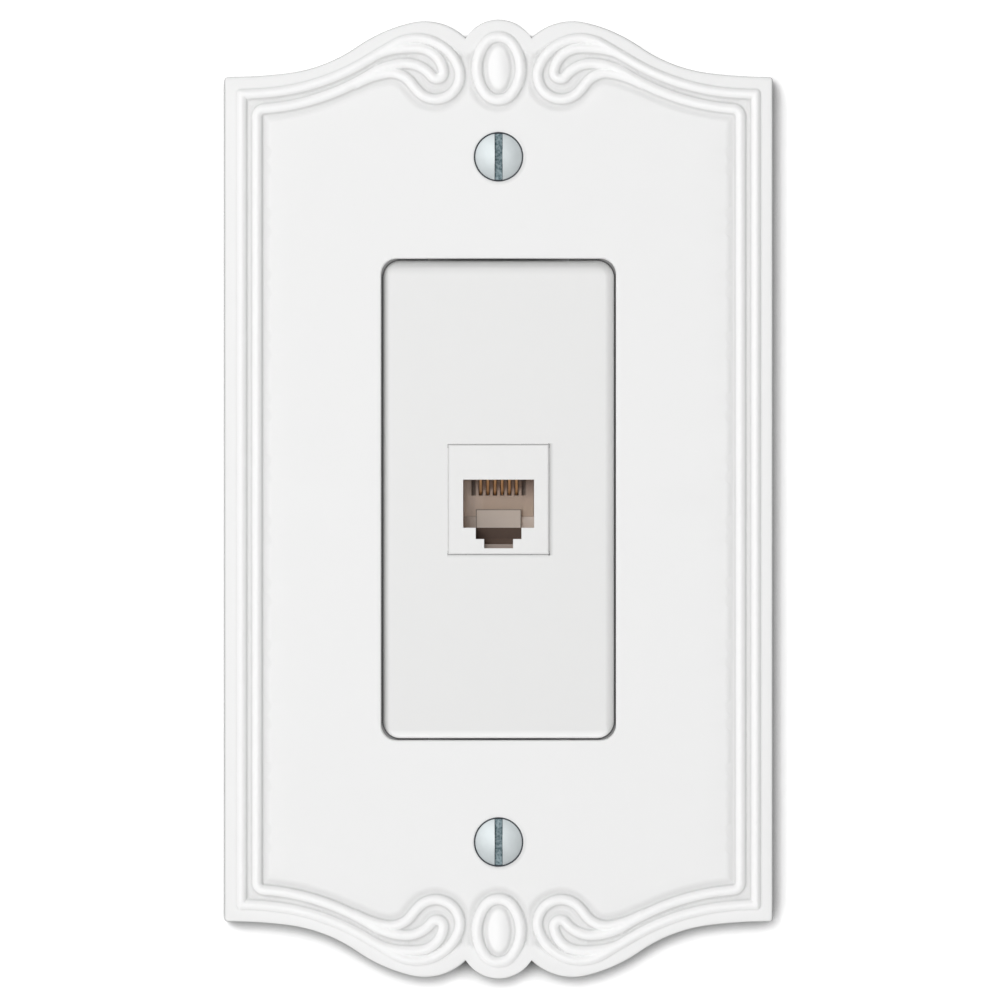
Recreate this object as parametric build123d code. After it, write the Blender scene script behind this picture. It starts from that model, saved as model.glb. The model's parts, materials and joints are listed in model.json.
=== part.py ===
from build123d import *
import os
from math import cos, radians, sin, tan

# A one-gang telephone wall socket: decorative plate, decorator insert, modular jack.
# Millimetres, X right, Z up, the front faces -Y and the wall plane is y = 0.
os.makedirs("parts", exist_ok=True)

# Wall plate
PLATE_WIDTH = 77.5
OPENING_W = 33.2
OPENING_H = 68.1
OPENING_R = 1.8
SHOULDER_ABOVE_OPENING = 25.64
LOBE_RISE = 8.11
PLATE_CORNER_R = 0.50
FIELD_Y = -5.6
PANEL_T = 2.0
RIM_WALL_T = 2.0
SHOULDER_Z = OPENING_H / 2 + SHOULDER_ABOVE_OPENING

# Top edge of the plate from its left shoulder: radius as a share of the plate's width
# (plus turns left) and sweep in degrees
EDGE_STEPS = [(0.8706, 7.24), (0.2855, 27.45), (-0.2848, 21.84), (-0.1071, 57.69)]
LOBE_TOP_Z = SHOULDER_Z + LOBE_RISE

# Raised beads: tangent arcs from the plate's left corner through the scroll, shares as above
BEAD_R = 0.75
BEAD_SINK = 0.20
OUTER_INSET = 2.40
INNER_INSET = 4.59
INNER_CORNER_R = 1.10
OUTER_STEPS = [(0.5123, 7.9), (0.4155, 22.6), (0, 0.0632), (-0.0810, 99.1)]
OUTER_STEPS += [(-0.0437, 156.5), (-0.1221, 9.2), (0.0483, 64.5)]
INNER_STEPS = [(0.4333, 27.5), (-0.1271, 27.8), (-0.0599, 56.1)]
INNER_STEPS += [(0.01213, 150.3), (0.0490, 78.3), (0.1945, 17.2)]

# Oval ring and egg at each end
RING_BELOW_LOBE = 6.86
RING_HALF_W = 3.11
RING_HALF_H = 4.45
RING_END_R = 2.45
RING_BEAD_R = 0.80
EGG_HALF_W = 1.58
EGG_HALF_H = 3.21
EGG_RISE = 0.60
EGG_ROOT = 0.40
RING_Z = LOBE_TOP_Z - RING_BELOW_LOBE

# Screws
THREAD_R = 1.753
CONE_ANGLE = 41.0
CONE_MOUTH_R = 3.52
PLATE_HOLE_R = 1.95
HEAD_R = 3.30
CROWN_H = 0.85
SLOT_W = 1.10
SLOT_DEPTH = 0.90
PLATE_SCREW_END_Y = -0.25
BOX_SCREW_ABOVE_OPENING = 7.62
PLATE_SCREW_ABOVE_BOX_SCREW = 6.75
BOX_HEAD_R = 3.30
BOX_HEAD_H = 1.50
BOX_HEAD_EDGE_R = 0.60
BOX_SLOT_DEPTH = 0.80
BOX_NECK_R = 1.45
BOX_THREAD_Y = 1.20
BOX_SCREW_END_Y = 19.0
BOX_TIP = 0.50
WASHER_R = 3.2
WASHER_T = 0.80
BOX_SCREW_Z = OPENING_H / 2 + BOX_SCREW_ABOVE_OPENING
PLATE_SCREW_Z = BOX_SCREW_Z + PLATE_SCREW_ABOVE_BOX_SCREW

# Insert
PLATE_GAP = 0.30
INSERT_Y = -5.25
INSERT_BACK_Y = -0.10
INSERT_T = 1.6
INSERT_R = 3.2
INSERT_EDGE_R = 1.2
INSERT_WALL_T = 1.6
EAR_T = 1.6
EAR_HALF_W = 10.0
EAR_END_R = 3.0
EAR_BEYOND_SCREW = 4.08
EAR_SLOT_R = 1.95
EAR_SLOT_L = 6.6
BOSS_R = 2.9
BOSS_Y = -2.7
RIB_T = 1.2
RIB_Y = -0.6
RIB_HEIGHT_SHARE = 0.326

# Jack housing and its holder in the insert
JACK_W = 14.27
JACK_H = 15.54
JACK_Y = -5.45
JACK_END_Y = 9.0
JACK_EDGE_R = 0.25
JACK_GAP = 0.15
HOLDER_T = 1.5
HOLDER_END_Y = 4.5
LATCH_ROOM = 2.53
LATCH_HALF_W = 3.2
LATCH_T = 1.10
LATCH_ROOT_Y = -2.4
LATCH_CREEP = 0.174
BARB_Y = 1.5
BARB_L = 1.5
BARB_H = 1.50
HOOK_H = 1.25
TAB_H = 1.60
TAB_T = 1.10
LUG_HALF_W = 4.5
LUG_Y = -0.5
LUG_L = 1.7
LUG_H = 1.53
LUG_GAP = 0.10
PORT_W = 10.03
PORT_TOP_SHARE = 0.1802
PORT_FLOOR_SHARE = -0.2580
PORT_END_Y = 7.2
NOTCH_W = 6.47
NOTCH_SHARE = 0.1030
NOTCH_END_Y = 3.5
LATCH_SLOT_W = 4.10
LATCH_SLOT_SHARE = 0.0837
LATCH_SLOT_END_Y = 1.5
LATCH_STEP_SHARE = 0.0360
LATCH_STEP_L = 1.60
STOP_SHARE = 0.1680
RAMP_Y = 4.2
RAMP_W = 1.8
RAMP_H = 1.53
RAMP_L = 1.2
LIP_T = 1.55
ROOF_T = 2.17
HOLDER_TOP_Z = JACK_H / 2 + LATCH_ROOM
PORT_TOP_Z = JACK_H * PORT_TOP_SHARE
PORT_FLOOR_Z = JACK_H * PORT_FLOOR_SHARE
NOTCH_H = JACK_H * NOTCH_SHARE
LATCH_SLOT_H = JACK_H * LATCH_SLOT_SHARE
LATCH_STEP_H = JACK_H * LATCH_STEP_SHARE
STOP_H = JACK_H * STOP_SHARE

# Contacts
PITCH = 1.02
COMB_SLOTS = 8
WIRES = 6
COMB_SLOT_W = 0.62
COMB_HALF_W = 4.5
COMB_GAP = 0.10
COMB_Y = 5.2
COMB_SLOT_END_Y = 7.8
COMB_FOOT_H = 0.24
COMB_SLOT_H = 3.66
CARRIER_Y = -2.4
CARRIER_T = 1.40
WIRE_R = 0.23
WIRE_RUN = 12.8
WIRE_BEND_R = 0.75
WIRE_SLANT = 13.0
WIRE_SPRING = 9.6
SOLDER_LAND = 0.10
CARRIER_TOP_Z = JACK_H / 2 - ROOF_T
CARRIER_Z = CARRIER_TOP_Z - CARRIER_T
WIRE_Z = CARRIER_TOP_Z - CARRIER_T / 2
COMB_SLOT_Z = CARRIER_Z - COMB_SLOT_H
COMB_FOOT_Z = COMB_SLOT_Z - COMB_FOOT_H

# Circuit board, terminals and caps
BOARD_T = 1.2
BLOCK_BASE_T = 2.2
TOWER_H = 7.0
TOWER_EDGE = 0.37
TOWER_W = 3.935
WIRE_SLOT_W = 1.2
WIRE_SLOT_FOOT = 1.2
TERMINAL_EDGE = 1.935
BLADE_T = 0.5
BLADE_W = 2.6
BLADE_SHOULDER = 0.8
BLADE_BELOW_TOWER = 0.8
FORK_FOOT = 3.0
FORK_W = 0.4
TAIL_W = 0.8
PEG_R = 0.8
PEG_L = 1.4
PEG_TOP_EDGE = 1.09
PEG_LOW_EDGE = 1.57
CAP_T = 1.2
CAP_SKIRT_T = 0.9
CAP_SKIRT_L = 3.4
CAP_GAP = 0.10
CAP_RIB_W = 1.0
CAP_RIB_L = 3.0

BOARD_END_Y = JACK_END_Y + BOARD_T
BASE_END_Y = BOARD_END_Y + BLOCK_BASE_T
TOWER_END_Y = BASE_END_Y + TOWER_H
TERMINAL_X = JACK_W / 2 - TERMINAL_EDGE
TOWER_X = JACK_W / 2 - TOWER_W
TOWER_HALF_H = JACK_H / 2 - TOWER_EDGE
TERMINAL_PITCH = JACK_H * 0.296
PEG_PLACES = (JACK_H / 2 - PEG_TOP_EDGE, PEG_LOW_EDGE - JACK_H / 2)
CUT = 1.0


def box(x0, x1, y0, y1, z0, z1):
    return Pos((x0 + x1) / 2, (y0 + y1) / 2, (z0 + z1) / 2) * Box(x1 - x0, y1 - y0, z1 - z0)


def rod(radius, x, z, y0, y1):
    return Pos(x, (y0 + y1) / 2, z) * Rot(90, 0, 0) * Cylinder(radius, y1 - y0)


def at(point, y):
    return Vector(point[0], y, point[1])


def walk(start, heading, steps):
    # Start, middle and end point of every step; a radius of 0 is a straight of that length
    x, z = start
    turn = radians(heading)
    parts = []
    for radius, amount in steps:
        if radius == 0:
            middle = (x + amount / 2 * cos(turn), z + amount / 2 * sin(turn))
            end = (x + amount * cos(turn), z + amount * sin(turn))
        else:
            side = 1 if radius > 0 else -1
            reach = abs(radius)
            cx = x - side * reach * sin(turn)
            cz = z + side * reach * cos(turn)
            half = turn + side * radians(amount) / 2
            full = turn + side * radians(amount)
            middle = (cx + side * reach * sin(half), cz - side * reach * cos(half))
            end = (cx + side * reach * sin(full), cz - side * reach * cos(full))
            turn = full
        parts.append(((x, z), middle, end, radius))
        x, z = end
    return parts


def edges_of(parts, y):
    edges = []
    for start, middle, end, radius in parts:
        if radius == 0:
            edges.append(Line(at(start, y), at(end, y)))
        else:
            edges.append(ThreePointArc(at(start, y), at(middle, y), at(end, y)))
    return edges


def scaled(steps):
    # Shares of the plate's width to millimetres; a straight's share is its length
    sized = []
    for share, amount in steps:
        if share == 0:
            sized.append((0, amount * PLATE_WIDTH))
        else:
            sized.append((share * PLATE_WIDTH, amount))
    return sized


def plate_outline(inset, y):
    # Left half of the top edge, moved inwards by the inset on every arc
    half = PLATE_WIDTH / 2 - inset
    corner = max(PLATE_CORNER_R - inset, PLATE_CORNER_R / 2)
    steps = [(-corner, 90.0)]
    for radius, sweep in scaled(EDGE_STEPS):
        steps.append((radius + inset, sweep))
    left = walk((-half, SHOULDER_Z - inset - corner), 90.0, steps)
    cusp = left[-1][2]
    lobe = [(cusp, (0.0, LOBE_TOP_Z - inset), (-cusp[0], cusp[1]), 1)]
    right = [((-e[0], e[1]), (-m[0], m[1]), (-s[0], s[1]), r) for s, m, e, r in reversed(left)]
    top = left + lobe + right
    bottom = [((e[0], -e[1]), (m[0], -m[1]), (s[0], -s[1]), r) for s, m, e, r in reversed(top)]
    side_r = Line(at(top[-1][2], y), at(bottom[0][0], y))
    side_l = Line(at(bottom[-1][2], y), at(top[0][0], y))
    return Wire(edges_of(top, y) + [side_r] + edges_of(bottom, y) + [side_l])


def slab(wire, depth):
    return extrude(Face(wire), amount=depth, dir=(0, 1, 0))


def rounded_block(width, height, radius, y0, y1):
    sketch = Plane.XZ.offset(-y1) * RectangleRounded(width, height, radius)
    return extrude(sketch, amount=y1 - y0)


def pipe(parts, radius, y):
    path = Wire(edges_of(parts, y))
    start = parts[0][0]
    section = Plane(origin=at(start, y), z_dir=path % 0) * Circle(radius)
    return sweep(section, path=path)


def cone_cut(z):
    # Countersink from in front of the plate down to the clearance hole
    slope = tan(radians(CONE_ANGLE))
    depth = (CONE_MOUTH_R - PLATE_HOLE_R) / slope
    through = FIELD_Y + PANEL_T + CUT
    points = [
        (0, FIELD_Y - CUT, z),
        (CONE_MOUTH_R + CUT * slope, FIELD_Y - CUT, z),
        (PLATE_HOLE_R, FIELD_Y + depth, z),
        (PLATE_HOLE_R, through, z),
        (0, through, z),
    ]
    face = Face(Wire(Polyline(*points, close=True)))
    return revolve(face, axis=Axis((0, 0, z), (0, 1, 0)))


def oval_ring(z):
    # Four tangent arcs close to an ellipse
    shift = RING_HALF_H - RING_END_R
    side_r = (RING_END_R**2 - RING_HALF_W**2 - shift**2) / (2 * RING_END_R - 2 * RING_HALF_W)
    centre_x = side_r - RING_HALF_W
    reach = (centre_x**2 + shift**2) ** 0.5
    tx = RING_END_R * centre_x / reach
    tz = shift + RING_END_R * shift / reach
    y = FIELD_Y + BEAD_SINK
    arcs = [
        ThreePointArc((-tx, y, z + tz), (0, y, z + RING_HALF_H), (tx, y, z + tz)),
        ThreePointArc((tx, y, z + tz), (RING_HALF_W, y, z), (tx, y, z - tz)),
        ThreePointArc((tx, y, z - tz), (0, y, z - RING_HALF_H), (-tx, y, z - tz)),
        ThreePointArc((-tx, y, z - tz), (-RING_HALF_W, y, z), (-tx, y, z + tz)),
    ]
    path = Wire(arcs)
    section = Plane(origin=(-tx, y, z + tz), z_dir=path % 0) * Circle(RING_BEAD_R)
    return sweep(section, path=path)


def egg(z):
    # Cap of a spheroid whose cut by the front plane has the egg's outline
    sink = (EGG_HALF_W**2 / EGG_RISE - EGG_RISE) / 2
    equator = sink + EGG_RISE
    pole = EGG_HALF_H / (1 - (sink / equator) ** 2) ** 0.5
    centre_y = FIELD_Y + sink
    arc = EllipticalCenterArc((0, 0), equator, pole, start_angle=-90, arc_size=180)
    face = make_face([arc, Line((0, -pole), (0, pole))])
    body = revolve(Plane.XZ * face, axis=Axis.Z)
    keep = box(-equator, equator, -equator, EGG_ROOT - sink, -pole, pole)
    return Pos(0, centre_y, z) * (body & keep)


def bead_paths():
    corner = (OUTER_INSET - PLATE_WIDTH / 2, SHOULDER_Z - OUTER_INSET)
    outer = walk(corner, 0.0, scaled(OUTER_STEPS))
    side = (INNER_INSET - PLATE_WIDTH / 2, SHOULDER_Z - INNER_INSET - INNER_CORNER_R + BEAD_SINK / 2)
    inner = walk(side, 90.0, [(-INNER_CORNER_R, 85.7)] + scaled(INNER_STEPS))
    return outer, inner


def wall_plate():
    body = slab(plate_outline(0.0, FIELD_Y), -FIELD_Y)
    body -= slab(plate_outline(RIM_WALL_T, FIELD_Y + PANEL_T), CUT - FIELD_Y)
    y = FIELD_Y + BEAD_SINK
    outer, inner = bead_paths()
    corner = Pos(outer[0][0][0], y, outer[0][0][1]) * Sphere(BEAD_R)
    for piece in (pipe(outer, BEAD_R, y), pipe(inner, BEAD_R, y), corner):
        for quarter in (piece, mirror(piece, about=Plane.XY)):
            body += quarter
            body += mirror(quarter, about=Plane.YZ)
    for side in (-1, 1):
        for x, z in (outer[0][0], inner[0][0]):
            body += Pos(side * x, y, 0) * Cylinder(BEAD_R, 2 * z)
        body += oval_ring(side * RING_Z)
        body += egg(side * RING_Z)
        body -= cone_cut(side * PLATE_SCREW_Z)
    body -= rounded_block(OPENING_W, OPENING_H, OPENING_R, FIELD_Y - CUT, CUT)
    return body


def plate_screw(z):
    # Oval head seated in the countersink, straight slot, shank in the insert's boss
    head_y = FIELD_Y + (CONE_MOUTH_R - HEAD_R) / tan(radians(CONE_ANGLE))
    cone_end = head_y + (HEAD_R - THREAD_R) / tan(radians(CONE_ANGLE))
    edge = [
        Line((0, head_y - CROWN_H), (0, PLATE_SCREW_END_Y)),
        Line((0, PLATE_SCREW_END_Y), (THREAD_R, PLATE_SCREW_END_Y)),
        Line((THREAD_R, PLATE_SCREW_END_Y), (THREAD_R, cone_end)),
        Line((THREAD_R, cone_end), (HEAD_R, head_y)),
    ]
    crown_r = (HEAD_R**2 + CROWN_H**2) / (2 * CROWN_H)
    half = HEAD_R / 2
    rise = (crown_r**2 - half**2) ** 0.5 - (crown_r - CROWN_H)
    edge.append(ThreePointArc((HEAD_R, head_y), (half, head_y - rise), (0, head_y - CROWN_H)))
    face = make_face(edge)
    body = revolve(face, axis=Axis.Y)
    top = head_y - CROWN_H
    body -= box(-SLOT_W / 2, SLOT_W / 2, top - CUT, top + SLOT_DEPTH, -HEAD_R - CUT, HEAD_R + CUT)
    return Pos(0, 0, z) * body


def mounting_screw(z):
    # Pan head on the ear, narrow neck through the slot and washer, thread behind it
    ear_y = INSERT_BACK_Y - EAR_T
    top = ear_y - BOX_HEAD_H
    head = rod(BOX_HEAD_R, 0, z, top, ear_y)
    rim = head.edges().group_by(Axis.Y)[0]
    head = fillet(rim, BOX_HEAD_EDGE_R)
    reach = BOX_HEAD_R + CUT
    head -= box(-SLOT_W / 2, SLOT_W / 2, top - CUT, top + BOX_SLOT_DEPTH, z - reach, z + reach)
    neck = rod(BOX_NECK_R, 0, z, ear_y, BOX_THREAD_Y)
    thread = rod(THREAD_R, 0, z, BOX_THREAD_Y, BOX_SCREW_END_Y)
    thread = chamfer(thread.edges().group_by(Axis.Y)[-1], BOX_TIP)
    return head + neck + thread


def washer(z):
    end_y = INSERT_BACK_Y + WASHER_T
    return rod(WASHER_R, 0, z, INSERT_BACK_Y, end_y) - rod(BOX_NECK_R, 0, z, INSERT_BACK_Y - CUT, end_y + CUT)


def insert_ear(start):
    # Upper ear with the mounting slot and the threaded boss for the plate's screw
    ear_y = INSERT_BACK_Y - EAR_T
    ear = box(-EAR_HALF_W, EAR_HALF_W, ear_y, INSERT_BACK_Y, start, PLATE_SCREW_Z + EAR_BEYOND_SCREW)
    ear = fillet(ear.edges().filter_by(Axis.Y).group_by(Axis.Z)[-1], EAR_END_R)
    ear += rod(BOSS_R, 0, PLATE_SCREW_Z, BOSS_Y, INSERT_BACK_Y)
    ear -= rod(THREAD_R, 0, PLATE_SCREW_Z, BOSS_Y - CUT, INSERT_BACK_Y + CUT)
    slot = Pos(0, ear_y - CUT, BOX_SCREW_Z) * Rot(-90, 0, 0) * SlotOverall(EAR_SLOT_L, 2 * EAR_SLOT_R)
    return ear - extrude(slot, amount=EAR_T + 2 * CUT)


def insert_frame():
    width = OPENING_W - 2 * PLATE_GAP
    height = OPENING_H - 2 * PLATE_GAP
    body = rounded_block(width, height, INSERT_R, INSERT_Y, INSERT_BACK_Y)
    body = fillet(body.faces().sort_by(Axis.Y)[0].outer_wire().edges(), INSERT_EDGE_R)
    inner_r = INSERT_R - INSERT_WALL_T
    inside = 2 * INSERT_WALL_T
    face_back = INSERT_Y + INSERT_T
    body -= rounded_block(width - inside, height - inside, inner_r, face_back, CUT)
    side_x = JACK_W / 2 + JACK_GAP
    floor_z = -JACK_H / 2 - JACK_GAP
    lug_cut = LUG_H + LUG_GAP - JACK_GAP
    bottom_z = floor_z - lug_cut - HOLDER_T / 2
    top_z = HOLDER_TOP_Z + HOLDER_T
    start = height / 2 - INSERT_WALL_T
    ear = insert_ear(start)
    body += ear
    body += mirror(ear, about=Plane.XY)
    for side in (-1, 1):
        rib_x = side * side_x
        body += box(rib_x - RIB_T / 2, rib_x + RIB_T / 2, face_back, RIB_Y, -start, start)
        rib_z = side * height * RIB_HEIGHT_SHARE
        wide = width / 2 - INSERT_WALL_T
        body += box(-wide, wide, face_back, RIB_Y, rib_z - RIB_T / 2, rib_z + RIB_T / 2)
    outer_x = side_x + HOLDER_T
    body += box(-outer_x, outer_x, face_back, HOLDER_END_Y, bottom_z, top_z)
    body -= box(-side_x, side_x, face_back, HOLDER_END_Y + CUT, floor_z, HOLDER_TOP_Z)
    body -= box(-side_x, side_x, INSERT_Y - CUT, face_back, floor_z, -floor_z)
    lug_x = LUG_HALF_W + LUG_GAP
    body -= box(-lug_x, lug_x, LUG_Y, LUG_Y + LUG_L + 5 * LUG_GAP, floor_z - lug_cut, floor_z)
    latch_x = LATCH_HALF_W + JACK_GAP
    body -= box(-latch_x, latch_x, BARB_Y - LUG_GAP, BARB_Y + BARB_L + LUG_GAP, HOLDER_TOP_Z, top_z + CUT)
    return body


def jack_port():
    # The plug's space: main cavity, latch notches, ramps in the lower corners, rear stop
    front = JACK_Y - CUT
    half = PORT_W / 2
    notch_z = PORT_FLOOR_Z - NOTCH_H
    slot_z = notch_z - LATCH_SLOT_H
    cavity = box(-half, half, front, PORT_END_Y, PORT_FLOOR_Z, PORT_TOP_Z)
    cavity += box(-NOTCH_W / 2, NOTCH_W / 2, front, NOTCH_END_Y, notch_z, PORT_FLOOR_Z)
    slot = LATCH_SLOT_W / 2
    cavity += box(-slot, slot, front, LATCH_SLOT_END_Y, slot_z + LATCH_STEP_H, notch_z)
    cavity += box(-slot, slot, front, JACK_Y + LATCH_STEP_L, slot_z, notch_z)
    cavity -= box(-NOTCH_W / 2, NOTCH_W / 2, NOTCH_END_Y, PORT_END_Y, PORT_FLOOR_Z, PORT_FLOOR_Z + STOP_H)
    top = PORT_FLOOR_Z + RAMP_H
    ramp = [(RAMP_Y, PORT_FLOOR_Z), (PORT_END_Y, PORT_FLOOR_Z), (PORT_END_Y, top), (RAMP_Y + RAMP_L, top)]
    for side in (-1, 1):
        face = Face(Wire(Polyline(*[(side * (half - RAMP_W), y, z) for y, z in ramp], close=True)))
        cavity -= extrude(face, amount=RAMP_W, dir=(side, 0, 0))
    return cavity


def latch_arm():
    # Springy arm over the housing with a barb, a hook behind the holder and a finger tab
    base = JACK_H / 2
    lift = base + LATCH_T - LATCH_CREEP * LATCH_ROOT_Y * 0.3
    barb_end = BARB_Y + BARB_L

    def top_at(y):
        return lift + LATCH_CREEP * (y - LATCH_ROOT_Y)

    tab_z = top_at(HOLDER_END_Y) + HOOK_H
    tab_y = HOLDER_END_Y + HOOK_H * 0.8
    root_end = LATCH_ROOT_Y + LATCH_T
    arm = [
        (LATCH_ROOT_Y, base), (LATCH_ROOT_Y, lift), (BARB_Y, top_at(BARB_Y)),
        (BARB_Y + BARB_L / 2, top_at(BARB_Y) + BARB_H), (barb_end, top_at(BARB_Y) + BARB_H),
        (barb_end, top_at(barb_end)), (HOLDER_END_Y, top_at(HOLDER_END_Y)), (HOLDER_END_Y, tab_z),
        (tab_y, tab_z), (tab_y, tab_z + TAB_H), (tab_y + TAB_T, tab_z + TAB_H),
        (tab_y + TAB_T, top_at(tab_y + TAB_T) - LATCH_T), (root_end, top_at(root_end) - LATCH_T),
        (root_end, base),
    ]
    face = Face(Wire(Polyline(*[(-LATCH_HALF_W, y, z) for y, z in arm], close=True)))
    return extrude(face, amount=2 * LATCH_HALF_W, dir=(1, 0, 0))


def jack_housing():
    half_w = JACK_W / 2
    half_h = JACK_H / 2
    body = box(-half_w, half_w, JACK_Y, JACK_END_Y, -half_h, half_h)
    body = fillet(body.faces().sort_by(Axis.Y)[0].edges(), JACK_EDGE_R)
    body -= jack_port()
    seat = COMB_HALF_W + COMB_GAP
    body -= box(-seat, seat, JACK_Y + LIP_T, JACK_END_Y + CUT, PORT_TOP_Z, CARRIER_TOP_Z)
    body -= box(-seat, seat, COMB_Y, JACK_END_Y + CUT, COMB_FOOT_Z, PORT_TOP_Z)
    body += latch_arm()
    body += box(-LUG_HALF_W, LUG_HALF_W, LUG_Y, LUG_Y + LUG_L, -half_h - LUG_H, -half_h)
    for z in PEG_PLACES:
        body -= rod(PEG_R, 0, z, JACK_END_Y - PEG_L, JACK_END_Y + CUT)
    return body


def wire_x(index, count):
    return (index - (count - 1) / 2) * PITCH


def contact_comb():
    # Carrier plate over the port and the slotted comb behind it
    body = box(-COMB_HALF_W, COMB_HALF_W, CARRIER_Y, JACK_END_Y, CARRIER_Z, CARRIER_TOP_Z)
    body += box(-COMB_HALF_W, COMB_HALF_W, COMB_Y, JACK_END_Y, COMB_FOOT_Z, CARRIER_TOP_Z)
    half = COMB_SLOT_W / 2
    for index in range(COMB_SLOTS):
        x = wire_x(index, COMB_SLOTS)
        body -= box(x - half, x + half, COMB_Y - CUT, COMB_SLOT_END_Y, COMB_SLOT_Z, CARRIER_Z)
    for index in range(WIRES):
        body -= rod(WIRE_R, wire_x(index, WIRES), WIRE_Z, CARRIER_Y - CUT, JACK_END_Y + CUT)
    return body


def contact_wire(index):
    # Straight in the carrier, bent round the front, slanting back into its comb slot
    x = wire_x(index, WIRES)
    start = (BOARD_END_Y - SOLDER_LAND, WIRE_Z)
    steps = [(0, WIRE_RUN), (WIRE_BEND_R, 180.0 - WIRE_SLANT), (0, WIRE_SPRING)]
    edges = []
    for begin, middle, end, radius in walk(start, 180.0, steps):
        points = [(x, p[0], p[1]) for p in (begin, middle, end)]
        if radius == 0:
            edges.append(Line(points[0], points[2]))
        else:
            edges.append(ThreePointArc(*points))
    path = Wire(edges)
    section = Plane(origin=path @ 0, z_dir=path % 0) * Circle(WIRE_R)
    return sweep(section, path=path)


def rows():
    # Side and height of each terminal, top to bottom on the left, then on the right
    return [(side, (1 - index) * TERMINAL_PITCH) for side in (-1, 1) for index in range(3)]


def blade_box(side, z, width, y0, y1):
    x = side * TERMINAL_X
    return box(x - BLADE_T / 2, x + BLADE_T / 2, y0, y1, z - width / 2, z + width / 2)


def circuit_board():
    body = box(-JACK_W / 2, JACK_W / 2, JACK_END_Y, BOARD_END_Y, -JACK_H / 2, JACK_H / 2)
    for index in range(WIRES):
        body -= rod(WIRE_R, wire_x(index, WIRES), WIRE_Z, JACK_END_Y - CUT, BOARD_END_Y + CUT)
    for side, z in rows():
        body -= blade_box(side, z, TAIL_W, JACK_END_Y - CUT, BOARD_END_Y + CUT)
    for z in PEG_PLACES:
        body -= rod(PEG_R, 0, z, JACK_END_Y - CUT, BOARD_END_Y + CUT)
    return body


def terminal_block():
    half_w = JACK_W / 2
    body = box(-half_w, half_w, BOARD_END_Y, BASE_END_Y, -JACK_H / 2, JACK_H / 2)
    for side in (-1, 1):
        x0, x1 = sorted((side * TOWER_X, side * half_w))
        body += box(x0, x1, BASE_END_Y, TOWER_END_Y, -TOWER_HALF_H, TOWER_HALF_H)
    half = WIRE_SLOT_W / 2
    for side, z in rows():
        x0, x1 = sorted((side * (TOWER_X - CUT), side * (half_w + CUT)))
        body -= box(x0, x1, BASE_END_Y + WIRE_SLOT_FOOT, TOWER_END_Y + CUT, z - half, z + half)
        body -= blade_box(side, z, BLADE_W, BOARD_END_Y + BLADE_SHOULDER, TOWER_END_Y + CUT)
        body -= blade_box(side, z, TAIL_W, BOARD_END_Y - CUT, BOARD_END_Y + CUT)
    for z in PEG_PLACES:
        body += rod(PEG_R, 0, z, JACK_END_Y - PEG_L, BOARD_END_Y)
    return body


def idc_terminal(side, z):
    # Forked blade with a flared slot, and a tail through the board
    top = TOWER_END_Y - BLADE_BELOW_TOWER
    shoulder = BOARD_END_Y + BLADE_SHOULDER
    fork = shoulder + FORK_FOOT
    tail = JACK_END_Y + SOLDER_LAND
    flare = BLADE_W / 2 - FORK_W
    half = [
        (tail, TAIL_W / 2), (shoulder, TAIL_W / 2), (shoulder, BLADE_W / 2), (top - FORK_W, BLADE_W / 2),
        (top, flare), (top - flare + FORK_W / 2, FORK_W / 2), (fork, FORK_W / 2),
    ]
    outline = [(y, -w) for y, w in half] + [(y, w) for y, w in reversed(half)]
    x = side * TERMINAL_X - BLADE_T / 2
    face = Face(Wire(Polyline(*[(x, y, z + w) for y, w in outline], close=True)))
    return extrude(face, amount=BLADE_T, dir=(1, 0, 0))


def terminal_cap(side):
    # Cover plate with ribs that press into the wire slots and a skirt on the outside
    half_w = JACK_W / 2
    outside = half_w + CAP_GAP + CAP_SKIRT_T
    x0, x1 = sorted((side * TOWER_X, side * outside))
    body = box(x0, x1, TOWER_END_Y, TOWER_END_Y + CAP_T, -TOWER_HALF_H, TOWER_HALF_H)
    x0, x1 = sorted((side * (half_w + CAP_GAP), side * outside))
    skirt_z = TOWER_HALF_H - CAP_T
    body += box(x0, x1, TOWER_END_Y - CAP_SKIRT_L, TOWER_END_Y, -skirt_z, skirt_z)
    inner = (TOWER_X + 3 * CAP_GAP, TERMINAL_X - BLADE_T)
    outer = (TERMINAL_X + BLADE_T, half_w - 2 * CAP_GAP)
    half = CAP_RIB_W / 2
    for place_side, z in rows():
        if place_side != side:
            continue
        for near, far in (inner, outer):
            x0, x1 = sorted((side * near, side * far))
            body += box(x0, x1, TOWER_END_Y - CAP_RIB_L, TOWER_END_Y, z - half, z + half)
    return body


def write(name, shape):
    shape.label = name
    export_step(shape, f"parts/{name}.step")


write("wall_plate", wall_plate())
write("plate_screws", Compound(children=[plate_screw(PLATE_SCREW_Z), plate_screw(-PLATE_SCREW_Z)]))
write("insert_frame", insert_frame())
write("mounting_screws", Compound(children=[mounting_screw(BOX_SCREW_Z), mounting_screw(-BOX_SCREW_Z)]))
write("screw_retainers", Compound(children=[washer(BOX_SCREW_Z), washer(-BOX_SCREW_Z)]))
write("jack_housing", jack_housing())
write("contact_comb", contact_comb())
for number in range(WIRES):
    write(f"contact_wire_{number + 1}", contact_wire(number))
write("circuit_board", circuit_board())
write("terminal_block", terminal_block())
for number, place in enumerate(rows()):
    write(f"idc_terminal_{number + 1}", idc_terminal(*place))
write("terminal_cap_left", terminal_cap(-1))
write("terminal_cap_right", terminal_cap(1))
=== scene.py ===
import json
from math import atan, ceil, cos, degrees, hypot, pi, radians, sin, sqrt, tan

import bmesh
import bpy
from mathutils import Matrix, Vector
from mathutils.geometry import delaunay_2d_cdt
from mathutils.kdtree import KDTree


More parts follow.
